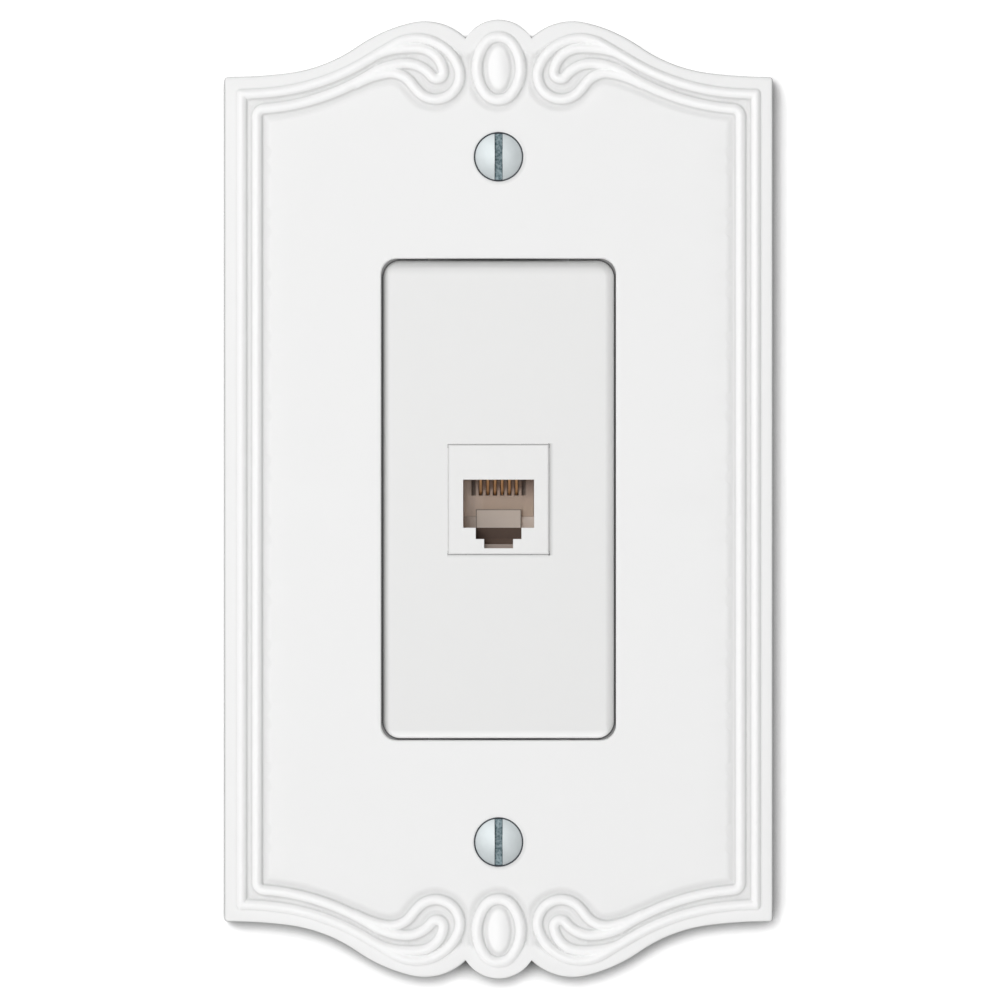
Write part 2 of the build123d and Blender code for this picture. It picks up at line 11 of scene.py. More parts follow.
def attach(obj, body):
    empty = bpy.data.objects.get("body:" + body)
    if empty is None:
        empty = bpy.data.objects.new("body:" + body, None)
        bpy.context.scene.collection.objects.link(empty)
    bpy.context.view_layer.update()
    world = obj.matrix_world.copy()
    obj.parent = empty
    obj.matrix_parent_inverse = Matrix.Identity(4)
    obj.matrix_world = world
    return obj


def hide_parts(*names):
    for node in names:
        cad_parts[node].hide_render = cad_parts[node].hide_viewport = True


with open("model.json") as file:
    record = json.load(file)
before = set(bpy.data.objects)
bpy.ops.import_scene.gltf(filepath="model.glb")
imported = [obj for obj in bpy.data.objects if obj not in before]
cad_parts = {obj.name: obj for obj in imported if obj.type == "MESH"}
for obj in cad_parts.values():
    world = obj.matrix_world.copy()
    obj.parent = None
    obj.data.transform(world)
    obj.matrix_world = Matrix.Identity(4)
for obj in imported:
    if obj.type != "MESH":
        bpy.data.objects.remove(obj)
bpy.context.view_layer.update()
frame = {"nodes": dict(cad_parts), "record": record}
nodes = frame["nodes"]
MM = 0.001

# Plate, in millimetres
SIDE_X = 38.75
SHOULDER_Z = 59.69
CORNER_R = 0.5
LOBE_TOP_Z = 67.80
EDGE_ARCS = [(67.47, 7.24), (22.13, 27.45), (-22.07, 21.84), (-8.30, 57.69)]
FIELD_Y = -5.6
PANEL_T = 2.0
RIM_WALL_T = 2.0
EDGE_R = 0.35
BACK_EDGE = 0.12
OPENING_X = 16.6
OPENING_Z = 34.05
OPENING_R = 2.2
OPENING_EDGE_R = 0.25
SCREW_Z = 48.42
MOUTH_R = 3.52
MOUTH_EDGE_R = 0.08
HOLE_R = 1.95
CONE_ANGLE = 41.0

# Raised border
OUTER_X, OUTER_Z = 36.35, 57.29
OUTER_STEPS = [(39.70, 7.9), (32.20, 22.6), (0, 4.9), (-6.28, 99.1)]
OUTER_STEPS += [(-3.39, 156.5), (-9.46, 9.2), (3.74, 64.5), (14.0, 18.0)]
INNER_X, INNER_Z = 34.16, 54.10
INNER_STEPS = [(-1.10, 85.7), (33.58, 27.5), (-9.85, 27.8), (-4.64, 56.1)]
INNER_STEPS += [(0.94, 150.3), (3.80, 78.3), (15.07, 17.2), (6.0, 16.0)]
BEAD_HALF_W = 0.72
BEAD_H = 0.57
BEAD_FOOT = 0.16
BEAD_ROUND = 2.1
BEAD_ROWS = (0, 0.14, 0.28, 0.40, 0.50, 0.58, 0.65, 0.71, 0.77)
BEAD_ROWS += (0.83, 0.90, 0.98, 1.08, 1.22, 1.40, 1.60, 1.82, 2.05)
COVE_DEPTH = 0.28
COVE_START, COVE_END = 1.05, 2.00
COVE_FROM_EDGE = 2.45
COVE_EASE = 0.4
FOOT_START, FOOT_END = 0.74, 1.05
SIDE_STEPS = 24
SIDE_STEP = (INNER_Z - 1.8) / SIDE_STEPS
RING_Z = 60.94
RING_X, RING_H, RING_END_R = 3.11, 4.45, 2.45
RING_HALF_W = 0.77
RING_RISE = 0.60
EGG_X, EGG_H, EGG_RISE = 1.58, 3.21, 0.60
EGG_ROWS = (0.12, 0.25, 0.4, 0.55, 0.7, 0.82, 0.91, 0.97, 1.03, 1.12)
EGG_POINTS = 24
GRID_STEP, GRID_CLEAR = 2.9, 2.0
POINT_GAP = 0.034
GUARD = 0.12

# Insert and jack
INSERT_X, INSERT_Z = 16.3, 33.75
INSERT_Y = -5.25
INSERT_R = 3.2
INSERT_EDGE_R = 1.2
INSERT_FOOT_R = 0.35
INSERT_CORNER_R = 2.4
EAR_Y = -1.70
JACK_HOLE_X, JACK_HOLE_Z = 7.285, 7.92
SNAP_FIT = 0.10

# Contact springs
CONTACTS = 6
CONTACT_PITCH = 1.02
CONTACT_Z = 4.90
CONTACT_START_Y = 10.10
CONTACT_STEPS = [(0, 12.8), (0.75, 164.8), (0, 9.6)]
CONTACT_HALF_W = 0.30
CONTACT_HALF_T = 0.20
CONTACT_WIRE_R = 0.23
COMB_X, COMB_Y, COMB_BACK_Y = 4.5, 5.2, 6.6
COMB_FOOT_Z = 0.30
SKIRT_X, SKIRT_Z, SKIRT_TOP_Z = 4.98, -2.45, 2.80

# Where the tones change in the port
PORT_X, PORT_TOP_Z, PORT_LOW_Z = 5.08, 2.86, -7.0
PORT_MOUTH_Y, PORT_DEEP_Y = -5.3, -4.4
REAR_START_Y, REAR_END_Y = 4.0, 7.0
LEDGE_X, LEDGE_Z = 3.22, -2.4
PIT_Y, PIT_Z, STRIP_Z = 1.3, -4.03, -6.33
BLOCK_X, BLOCK_Y, BLOCK_TOP_Z = (3.10, 3.26), (3.4, 3.62), -1.54

# Screws
THREAD_R = 1.753
THREAD_DEPTH = 0.42
THREAD_PITCH = 0.794
BOX_SCREW_Z = 41.67
BOX_THREAD_Y = 1.20
BOX_SCREW_END_Y = 19.0
TIP_L = 0.55

# View and stage, from here on in metres unless the name says otherwise
PHOTO_MM_PER_PIXEL = 0.1413
PHOTO_PIXELS = 1000
CAMERA_DISTANCE = 1.20
CAMERA_X_MM, CAMERA_Z_MM = 0.198, -0.085
WALL_Y = 0.00005
FLOOR_Z = -0.20
HOLE_X, HOLE_Z = 0.03, 0.052
RECESS_DEPTH = 0.04
BARE_X, BARE_Z = 0.01442, 0.03251
LEE_X, LEE_Z = (0.0380, 0.0388), (-0.0560, -0.0600)
SHADOW_REACH, SHADOW_TONE = 0.0034, 1.35
LINE_REACH, LINE_TONE = 0.0008, 1.45
ROOM_LIGHT, ROOM_SHEEN = 0.19, 0.75
LAMP_POWER = 8.1


class Field:
    """One socket of a node tree; sums and products of fields add Math nodes."""

    def __init__(self, tree, socket=None):
        self.tree = tree
        self.socket = socket

    def node(self, kind, settings=None, sockets=None, out=0):
        made = self.tree.nodes.new(kind)
        for name, value in (settings or {}).items():
            setattr(made, name, value)
        for name, value in (sockets or {}).items():
            target = made.inputs[name] if isinstance(name, int) else self.find(made, name)
            if isinstance(value, Field):
                self.tree.links.new(value.socket, target)
            elif isinstance(value, list):
                for item in value:
                    self.tree.links.new(item.socket, target)
            else:
                target.default_value = value
        return Field(self.tree, made.outputs[out])

    @staticmethod
    def find(made, name):
        for socket in made.inputs:
            if socket.identifier == name:
                return socket
        return made.inputs[name]

    def math(self, operation, a, b=0.0, c=None):
        sockets = {0: a, 1: b}
        if c is not None:
            sockets[2] = c
        return self.node("ShaderNodeMath", {"operation": operation}, sockets)

    def clamped(self):
        return self.node("ShaderNodeMath", {"operation": "ADD", "use_clamp": True}, {0: self, 1: 0.0})

    def __add__(self, other):
        return self.math("ADD", self, other)

    def __radd__(self, other):
        return self.math("ADD", other, self)

    def __sub__(self, other):
        return self.math("SUBTRACT", self, other)

    def __rsub__(self, other):
        return self.math("SUBTRACT", other, self)

    def __mul__(self, other):
        return self.math("MULTIPLY", self, other)

    def __truediv__(self, other):
        return self.math("DIVIDE", self, other)

    def __pow__(self, other):
        return self.math("POWER", self, other)

    def __lt__(self, other):
        return self.math("LESS_THAN", self, other)

    def __gt__(self, other):
        return self.math("GREATER_THAN", self, other)


# Lines of points in the plane of the plate


def trace(start, heading, steps, straight=0.7):
    # Places along straights and arcs, each with its heading in radians
    x, z = start
    turn = radians(heading)
    line = [(x, z, turn)]
    for radius, amount in steps:
        if radius == 0:
            count = ceil(amount / straight)
            places = [amount * k / count for k in range(1, count + 1)]
            line += [(x + along * cos(turn), z + along * sin(turn), turn) for along in places]
        else:
            side = 1 if radius > 0 else -1
            reach = abs(radius)
            sweep = radians(amount)
            cx = x - side * reach * sin(turn)
            cz = z + side * reach * cos(turn)
            gap = min(0.7, max(0.14, 0.11 * reach))
            count = max(2, ceil(reach * sweep / gap))
            for k in range(1, count + 1):
                now = turn + side * sweep * k / count
                line.append((cx + side * reach * sin(now), cz - side * reach * cos(now), now))
        x, z, turn = line[-1]
    return line


def side_line(x, end):
    # Straight up the left side, with places at the same heights on every side line
    heights = [SIDE_STEP * k for k in range(SIDE_STEPS + 1)]
    while heights[-1] < end - 0.3:
        heights.append(min(heights[-1] + 0.3, end))
    heights[-1] = end
    return [(x, z, radians(90.0)) for z in heights]


def fan(line, first, last, count):
    # The same place seen along turning headings, which closes an end or a corner
    x, z, turn = line[-1]
    return [(x, z, turn + radians(first + (last - first) * k / count)) for k in range(count + 1)]


def outline(inset):
    # Quarter of the plate's edge from the middle of the left side to the middle of the top
    corner = max(CORNER_R - inset, CORNER_R / 2)
    side = SHOULDER_Z - inset - corner
    x = -SIDE_X + inset
    line = [(x, SIDE_STEP * k) for k in range(SIDE_STEPS + 1)]
    low = SIDE_STEP * SIDE_STEPS
    line += [(x, low + (side - low) * k / 5) for k in range(1, 5)]
    cx, cz = x + corner, side
    line += [(cx - corner * cos(radians(15 * k)), cz + corner * sin(radians(15 * k))) for k in range(7)]
    x, z = line[-1]
    turn = 0.0
    for radius, sweep in EDGE_ARCS:
        reach = radius + inset
        count = ceil(abs(radius) * radians(sweep) / 0.5)
        cx, cz = x - reach * sin(turn), z + reach * cos(turn)
        for k in range(1, count + 1):
            now = turn + (1 if radius > 0 else -1) * radians(sweep) * k / count
            line.append((cx + reach * sin(now), cz - reach * cos(now)))
        turn = now
        x, z = line[-1]
    top = LOBE_TOP_Z - inset
    chord = -x
    rise = top - z
    lobe_r = (chord**2 + rise**2) / (2 * rise)
    span = 2 * atan(rise / chord)
    count = 14
    for k in range(1, count + 1):
        now = span * (1 - k / count)
        line.append((-lobe_r * sin(now), top - lobe_r + lobe_r * cos(now)))
    return line


def opening(grow):
    # Quarter of the insert's opening, from the left side to the top
    x, z, r = OPENING_X + grow, OPENING_Z + grow, OPENING_R + grow
    line = [(-x, (z - r) * k / 8) for k in range(8)]
    line += [(-x + r - r * cos(radians(9 * k)), z - r + r * sin(radians(9 * k))) for k in range(11)]
    line += [(-(x - r) * (1 - k / 4), z) for k in range(1, 5)]
    return line


def half_circle(radius):
    # Left half of a circle round the upper screw, from top to bottom
    return [(-radius * sin(pi * k / 32), SCREW_Z + radius * cos(pi * k / 32)) for k in range(33)]


def ring_line():
    # Left half of the four-arc oval, with its heading
    shift = RING_H - RING_END_R
    side_r = (RING_END_R**2 - RING_X**2 - shift**2) / (2 * RING_END_R - 2 * RING_X)
    centre_x = side_r - RING_X
    lean = atan(shift / centre_x)
    steps = [(RING_END_R, 90 - degrees(lean)), (side_r, 2 * degrees(lean)), (RING_END_R, 90 - degrees(lean))]
    return trace((0.0, RING_Z + RING_H), 180.0, steps)


def bead_lines():
    side = side_line(-OUTER_X, OUTER_Z)
    corner = fan(side, 0, -90, 6)
    outer = side + corner + trace((-OUTER_X, OUTER_Z), 0.0, OUTER_STEPS)
    outer += fan(outer, 0, -180, 8)
    inner = side_line(-INNER_X, INNER_Z) + trace((-INNER_X, INNER_Z), 90.0, INNER_STEPS)
    inner += fan(inner, 0, -180, 8)
    return outer, inner


def rows_beside(lines, offsets):
    # Points beside the lines, kept where no other line is nearer than their own
    dense = []
    for line in lines:
        for (x0, z0, _), (x1, z1, _) in zip(line, line[1:]):
            count = max(1, ceil(hypot(x1 - x0, z1 - z0) / 0.08))
            dense += [(x0 + (x1 - x0) * k / count, z0 + (z1 - z0) * k / count) for k in range(count + 1)]
    tree = KDTree(len(dense))
    for number, (x, z) in enumerate(dense):
        tree.insert((x, z, 0), number)
    tree.balance()
    points = []
    for offset in offsets:
        for side in (-1, 1) if offset else (1,):
            for line in lines:
                for x, z, turn in line:
                    px = x - side * offset * sin(turn)
                    pz = z + side * offset * cos(turn)
                    near = tree.find((px, pz, 0))[2]
                    if near > offset - 0.03:
                        points.append((px, pz))
    return points, tree


def spaced(points, gap):
    # Leaves out a point that nearly repeats one before it
    taken = {}
    kept = []
    for x, z in points:
        cell = (int(x // gap), int(z // gap))
        near = [p for i in (-1, 0, 1) for j in (-1, 0, 1) for p in taken.get((cell[0] + i, cell[1] + j), ())]
        if all(hypot(x - p[0], z - p[1]) > gap for p in near):
            kept.append((x, z))
            taken.setdefault(cell, []).append((x, z))
    return kept


# Meshes


class Shell:
    """Points and faces of one piece, in millimetres."""

    def __init__(self):
        self.points = []
        self.faces = []

    def add(self, points, faces):
        start = len(self.points)
        self.points += points
        self.faces += [[start + k for k in face] for face in faces]

    def strips(self, lines):
        # Quads between neighbouring lines of as many points
        size = len(lines[0])
        faces = []
        for row in range(len(lines) - 1):
            for k in range(size - 1):
                a = row * size + k
                faces.append((a, a + 1, a + size + 1, a + size))
        self.add([point for line in lines for point in line], faces)

    def sheet(self, boundary, inside, y):
        # Triangles over a closed line, with more points inside it
        flat = [Vector(point) for point in boundary + inside]
        count = len(boundary)
        edges = [(k, (k + 1) % count) for k in range(count)]
        made = delaunay_2d_cdt(flat, edges, [list(range(count))], 1, 1e-6)
        self.add([(x, y, z) for x, z in made[0]], made[2])

    def mesh(self, name):
        mesh = bpy.data.meshes.new(name)
        mesh.from_pydata([(x * MM, y * MM, z * MM) for x, y, z in self.points], [], self.faces)
        mesh.validate()
        return mesh


def at(line, y):
    return [(x, y, z) for x, z in line]


def plate_quarter():
    # One quarter of the plate with a flat front; its relief comes from the node tree
    shell = Shell()
    rounding = [radians(18 * k) for k in range(6)]
    rim = [(EDGE_R * (1 - sin(a)), FIELD_Y + EDGE_R * (1 - cos(a))) for a in rounding]
    rim += [(0, -3.0), (0, -BACK_EDGE), (BACK_EDGE, 0), (RIM_WALL_T, 0), (RIM_WALL_T, FIELD_Y + PANEL_T)]
    shell.strips([at(outline(inset), y) for inset, y in rim])
    edge = [(OPENING_EDGE_R * (1 - sin(a)), FIELD_Y + OPENING_EDGE_R * (1 - cos(a))) for a in rounding]
    edge.append((0, FIELD_Y + PANEL_T))
    shell.strips([at(opening(grow), y) for grow, y in edge])
    cone = (MOUTH_R - HOLE_R) / tan(radians(CONE_ANGLE))
    seat = [(MOUTH_R + MOUTH_EDGE_R, FIELD_Y), (MOUTH_R, FIELD_Y + MOUTH_EDGE_R)]
    seat += [(HOLE_R, FIELD_Y + MOUTH_EDGE_R + cone), (HOLE_R, FIELD_Y + PANEL_T)]
    shell.strips([at(half_circle(radius), y) for radius, y in seat])

    front = outline(EDGE_R) + half_circle(MOUTH_R + MOUTH_EDGE_R) + opening(OPENING_EDGE_R)[::-1]
    back = outline(RIM_WALL_T) + half_circle(HOLE_R) + opening(0)[::-1]
    beads, tree = rows_beside(bead_lines(), BEAD_ROWS)
    ring, ring_tree = rows_beside([ring_line()], [row * RING_HALF_W / BEAD_HALF_W for row in BEAD_ROWS])
    egg = [(0.0, RING_Z)]
    turns = [pi * k / EGG_POINTS for k in range(EGG_POINTS + 1)]
    for share in EGG_ROWS:
        egg += [(-EGG_X * share * sin(turn), RING_Z + EGG_H * share * cos(turn)) for turn in turns]
    field = []
    for row in range(1, 24):
        for column in range(1, 14):
            x, z = -GRID_STEP * column, GRID_STEP * row
            if all(near.find((x, z, 0))[2] > GRID_CLEAR for near in (tree, ring_tree)):
                field.append((x, z))
    rim_tree = KDTree(600)
    for number, (x, z) in enumerate(outline(0.0)):
        rim_tree.insert((x, z, 0), number)
    rim_tree.balance()
    guard = outline(EDGE_R + GUARD) + half_circle(MOUTH_R + MOUTH_EDGE_R + GUARD)
    guard += opening(OPENING_EDGE_R + GUARD)
    inside = []
    for x, z in spaced(beads + ring + egg + field, POINT_GAP):
        clear_of_opening = x < -OPENING_X - 0.6 or z > OPENING_Z + 0.6
        clear_of_screw = hypot(x, z - SCREW_Z) > MOUTH_R + 0.4
        in_quarter = (abs(x) < 1e-6 or x < -0.03) and (abs(z) < 1e-6 or z > 0.03)
        edge_gap = rim_tree.find((x, z, 0))[2]
        clear_of_edge = x > -SIDE_X + EDGE_R + 0.25 and edge_gap > EDGE_R + 0.35
        if clear_of_opening and clear_of_screw and clear_of_edge and in_quarter:
            inside.append((x, z))
    shell.sheet(*threaded(front, inside + guard), FIELD_Y)
    shell.sheet(back, [], FIELD_Y + PANEL_T)
    return shell.mesh("plate_quarter")


def threaded(boundary, inside):
    # Points on the quarter's two cut lines become part of the closed line
    line = []
    for first, last in zip(boundary, boundary[1:] + boundary[:1]):
        line.append(first)
        for axis in (0, 1):
            if abs(first[axis]) < 1e-6 and abs(last[axis]) < 1e-6:
                low, high = sorted((first[1 - axis], last[1 - axis]))
                between = {p for p in inside if abs(p[axis]) < 1e-6 and low + 0.02 < p[1 - axis] < high - 0.02}
                line += sorted(between, key=lambda p: abs(p[1 - axis] - first[1 - axis]))
    rest = [p for p in inside if abs(p[0]) > 1e-6 and abs(p[1]) > 1e-6]
    return line, rest


def linked(name, data):
    made = bpy.data.objects.new(name, data)
    bpy.context.scene.collection.objects.link(made)
    return made


def wire_object(name, lines):
    # A line of edges that a node tree measures its distance from
    points, edges = [], []
    for line in lines:
        start = len(points)
        points += [(x * MM, FIELD_Y * MM, z * MM) for x, z, _ in line]
        edges += [(start + k, start + k + 1) for k in range(len(line) - 1)]
    mesh = bpy.data.meshes.new(name)
    mesh.from_pydata(points, edges, [])
    return linked(name, mesh)


# Node trees for shapes


def shape_tree(name, sizes):
    # An empty tree with named inputs; gives the inputs as fields
    tree = bpy.data.node_groups.new(name, "GeometryNodeTree")
    tree.interface.new_socket(name="Geometry", in_out="INPUT", socket_type="NodeSocketGeometry")
    for label, kind in sizes.items():
        tree.interface.new_socket(name=label, in_out="INPUT", socket_type="NodeSocket" + kind)
    tree.interface.new_socket(name="Geometry", in_out="OUTPUT", socket_type="NodeSocketGeometry")
    source = tree.nodes.new("NodeGroupInput")
    fields = {socket.name: Field(tree, socket) for socket in source.outputs if socket.name}
    return tree, fields


def finish_tree(tree, geometry, material):
    whole = geometry.node("GeometryNodeRealizeInstances", {}, {"Geometry": geometry})
    painted = whole.node("GeometryNodeSetMaterial", {}, {"Geometry": whole, "Material": material})
    end = tree.nodes.new("NodeGroupOutput")
    tree.links.new(painted.socket, end.inputs[0])


def grown(name, mesh, tree, values):
    # Runs a tree on a mesh and keeps the result as a plain object
    seed = linked(name + "_seed", mesh)
    modifier = seed.modifiers.new("shape", "NODES")
    modifier.node_group = tree
    for item in tree.interface.items_tree:
        if item.in_out == "INPUT" and item.name in values:
            modifier[item.identifier] = values[item.name]
    bpy.context.view_layer.update()
    graph = bpy.context.evaluated_depsgraph_get()
    result = bpy.data.meshes.new_from_object(seed.evaluated_get(graph))
    seed.modifiers.remove(modifier)
    bpy.data.objects.remove(seed)
    return placed(name, result)


def placed(name, mesh):
    mesh.name = name
    return linked(name, mesh)


def outward(mesh, sharp):
    # Faces outwards, smooth but for edges sharper than the angle
    work = bmesh.new()
    work.from_mesh(mesh)
    bmesh.ops.remove_doubles(work, verts=work.verts, dist=2e-6)
    bmesh.ops.dissolve_degenerate(work, edges=work.edges, dist=1e-7)
    bmesh.ops.delete(work, geom=[vertex for vertex in work.verts if not vertex.link_faces], context="VERTS")
    bmesh.ops.recalc_face_normals(work, faces=work.faces)
    for face in work.faces:
        face.smooth = True
    work.to_mesh(mesh)
    work.free()
    mesh.set_sharp_from_angle(angle=radians(sharp))


def relief_tree():
    # Lifts the flat front into beads, ring and egg, and mirrors the quarter twice
    lengths = ("Front", "Bead half width", "Bead height", "Cove depth", "Cove start", "Cove end")
    lengths += ("Cove from edge", "Foot", "Ring half width", "Ring rise")
    lengths += ("Egg half width", "Egg half height", "Egg rise", "Egg centre")
    sizes = {"Beads": "Object", "Ring": "Object", "Edge": "Object"}
    sizes.update(dict.fromkeys(lengths, "Float"))
    sizes["Material"] = "Material"
    tree, given = shape_tree("plate_relief", sizes)
    start = given["Geometry"]
    place = start.node("GeometryNodeInputPosition")
    x, y, z = (place.node("ShaderNodeSeparateXYZ", {}, {0: place}, axis) for axis in range(3))

    def distance(source):
        settings = {"transform_space": "RELATIVE"}
        lines = source.node("GeometryNodeObjectInfo", settings, {"Object": source}, "Geometry")
        return lines.node("GeometryNodeProximity", {"target_element": "EDGES"}, {"Target": lines}, "Distance")

    def step(value, low, high):
        limits = {"Value": value, "From Min": low, "From Max": high}
        return value.node("ShaderNodeMapRange", {"interpolation_type": "SMOOTHSTEP"}, limits)

    near_bead = distance(given["Beads"])
    near_ring = distance(given["Ring"])
    nearest = near_bead.math("MINIMUM", near_bead, near_ring)
    edge = given["Cove from edge"]
    near_edge = distance(given["Edge"])
    inner = step(near_edge, edge - COVE_EASE * MM, edge)
    near = 1.0 - step(nearest, given["Cove start"], given["Cove end"])
    cove = given["Cove depth"] * inner * near
    arch = given["Bead height"] * (1.0 - (near_bead / given["Bead half width"]) ** BEAD_ROUND)
    ring = given["Ring rise"] * (1.0 - (near_ring / given["Ring half width"]) ** BEAD_ROUND)
    raised = arch.math("MAXIMUM", arch, ring)
    beads = arch.math("SMOOTH_MAX", raised, cove * -1.0, given["Foot"])
    wide = given["Egg half width"]
    rise = given["Egg rise"]
    sink = (wide * wide / rise - rise) / 2.0
    tall = (z - given["Egg centre"]) * wide / given["Egg half height"]
    dome = (sink + rise) ** 2.0 - x * x - tall * tall
    egg = dome.math("SQRT", dome.math("MAXIMUM", dome, 0.0)) - sink
    lift = beads.math("SMOOTH_MAX", beads, egg, given["Foot"] * 0.5)
    # Low ground beside the beads, kept on the mesh for the enamel's painted shade; the crests are kept for its
    # painted highlight and the front edge for its painted dark line
    foot = (1.0 - step(nearest, FOOT_START * MM, FOOT_END * MM)) * 0.25
    beside = foot.math("MAXIMUM", foot, inner * near)
    height = beads.math("MAXIMUM", raised, egg)
    hollow = beside * (1.0 - step(height, -0.00002, given["Bead height"] * 0.6))
    # Painted highlight: the raised beads, ring and egg are marked for a lighter tone
    crest = step(height, 0.0, given["Bead height"] * 0.5)
    front = given["Front"]
    # Painted dark line along the plate's front edge
    border = step(y, front + 0.06 * MM, front + 0.2 * MM) * (near_edge < 0.4 * MM)
    on_front = y < front
    offset = lift.node("ShaderNodeCombineXYZ", {}, {"Y": lift * on_front * -1.0})
    geometry = start
    for label, tone in (("hollow", hollow * on_front), ("crest", crest * on_front), ("border", border)):
        kept = {"Geometry": geometry, "Name": label, "Value": tone}
        geometry = start.node("GeometryNodeStoreNamedAttribute", {"data_type": "FLOAT", "domain": "POINT"}, kept)
    geometry = start.node("GeometryNodeSetPosition", {}, {"Geometry": geometry, "Offset": offset})
    for scale in ((-1.0, 1.0, 1.0), (1.0, 1.0, -1.0)):
        other = geometry.node("GeometryNodeTransform", {}, {"Geometry": geometry, "Scale": scale})
        geometry = geometry.node("GeometryNodeJoinGeometry", {}, {"Geometry": [geometry, other]})
    geometry = geometry.node("GeometryNodeMergeByDistance", {}, {"Geometry": geometry, "Distance": 2e-6})
    finish_tree(tree, geometry, given["Material"])
    return tree


def make_plate(material):
    outer, inner = bead_lines()
    beads = wire_object("bead_line", (outer, inner))
    ring = wire_object("ring_line", (ring_line(),))
    edge = wire_object("edge_line", ([(x, z, 0) for x, z in outline(0.0)],))
    values = {
        "Beads": beads,
        "Ring": ring,
        "Edge": edge,
        "Cove depth": COVE_DEPTH * MM,
        "Cove start": COVE_START * MM,
        "Cove end": COVE_END * MM,
        "Cove from edge": COVE_FROM_EDGE * MM,
        "Front": (FIELD_Y + 0.002) * MM,
        "Bead half width": BEAD_HALF_W * MM,
        "Bead height": BEAD_H * MM,
        "Foot": BEAD_FOOT * MM,
        "Ring half width": RING_HALF_W * MM,
        "Ring rise": RING_RISE * MM,
        "Egg half width": EGG_X * MM,
        "Egg half height": EGG_H * MM,
        "Egg rise": EGG_RISE * MM,
        "Egg centre": RING_Z * MM,
        "Material": material,
    }
    piece = grown("cover_plate", plate_quarter(), relief_tree(), values)
    for line in (beads, ring, edge):
        bpy.data.objects.remove(line)
    outward(piece.data, 48)
    return piece


def thread_tree():
    # A rolled thread on a plain shank, repeated at each screw
    sizes = {"Radius": "Float", "Depth": "Float", "Pitch": "Float", "Start": "Float", "Length": "Float"}
    sizes.update({"Tip": "Float", "Spacing": "Float", "Material": "Material"})
    tree, given = shape_tree("screw_thread", sizes)
    length = given["Length"]
    shank = length.node(
        "GeometryNodeMeshCylinder",
        {"fill_type": "NGON"},
        {"Vertices": 36, "Side Segments": 200, "Radius": 1.0, "Depth": length},
    )
    place = shank.node("GeometryNodeInputPosition")
    x, y, z = (place.node("ShaderNodeSeparateXYZ", {}, {0: place}, axis) for axis in range(3))
    angle = x.math("ARCTAN2", y, x)
    along = z + length / 2.0
    turn = along / given["Pitch"] - angle / (2 * pi)
    phase = turn.math("FRACT", turn)
    groove = phase.math("ABSOLUTE", phase * 2.0 - 1.0)
    left = (length - along) / given["Tip"]
    crest = given["Radius"] - given["Depth"] * (1.0 - left.clamped()) * 1.2
    radius = crest - given["Depth"] * groove.math("SMOOTH_MIN", groove, 0.88, 0.15)
    side = {"X": x * radius, "Y": given["Start"] + along, "Z": y * radius}
    surface = x.node("ShaderNodeCombineXYZ", {}, side)
    shaped = shank.node("GeometryNodeSetPosition", {}, {"Geometry": shank, "Position": surface})
    half = given["Spacing"]
    first = half.node("ShaderNodeCombineXYZ", {}, {"Z": half})
    step = half.node("ShaderNodeCombineXYZ", {}, {"Z": half * -2.0})
    spots = half.node("GeometryNodeMeshLine", {}, {"Count": 2, "Start Location": first, "Offset": step})
    screws = spots.node("GeometryNodeInstanceOnPoints", {}, {"Points": spots, "Instance": shaped})
    finish_tree(tree, screws, given["Material"])
    return tree


def cad_copy(name, node, keep):
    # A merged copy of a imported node, without the faces that a finer shape takes over
    mesh = nodes[node].data.copy()
    work = bmesh.new()
    work.from_mesh(mesh)
    bmesh.ops.remove_doubles(work, verts=work.verts, dist=1e-6)
    gone = [face for face in work.faces if not keep(face.calc_center_median())]
    bmesh.ops.delete(work, geom=gone, context="FACES")
    open_edges = [edge for edge in work.edges if edge.is_boundary]
    if open_edges:
        bmesh.ops.holes_fill(work, edges=open_edges, sides=0)
    bmesh.ops.recalc_face_normals(work, faces=work.faces)
    work.to_mesh(mesh)
    work.free()
    mesh.materials.clear()
    if mesh.has_custom_normals:
        mesh.attributes.remove(mesh.attributes["custom_normal"])
    smoothed(mesh)
    return placed(name, mesh)


def smoothed(mesh):
    # Rounded faces shade smoothly, and faces square to the axes stay flat
    mesh.set_sharp_from_angle(angle=radians(30))
    for face in mesh.polygons:
        face.use_smooth = max(abs(value) for value in face.normal) < 0.9998


def joined(name, pieces, material):
    # Several meshes as one piece
    work = bmesh.new()
    for piece in pieces:
        work.from_mesh(piece.data)
        bpy.data.objects.remove(piece)
    mesh = bpy.data.meshes.new(name)
    work.to_mesh(mesh)
    work.free()
    mesh.materials.append(material)
    for face in mesh.polygons:
        face.material_index = 0
    return placed(name, mesh)


def make_box_screws(material):
    start = (BOX_THREAD_Y - 0.01) * MM
    heads = cad_copy("box_screw_heads", "mounting_screws", lambda spot: spot.y < BOX_THREAD_Y * MM - 1e-5)
    values = {
        "Radius": THREAD_R * MM,
        "Depth": THREAD_DEPTH * MM,
        "Pitch": THREAD_PITCH * MM,
        "Start": start,
        "Length": BOX_SCREW_END_Y * MM - start,
        "Tip": TIP_L * MM,
        "Spacing": BOX_SCREW_Z * MM,
        "Material": material,
    }
    threads = grown("box_screw_threads", bpy.data.meshes.new("none"), thread_tree(), values)
    outward(threads.data, 40)
    return joined("box_screws", (heads, threads), material)


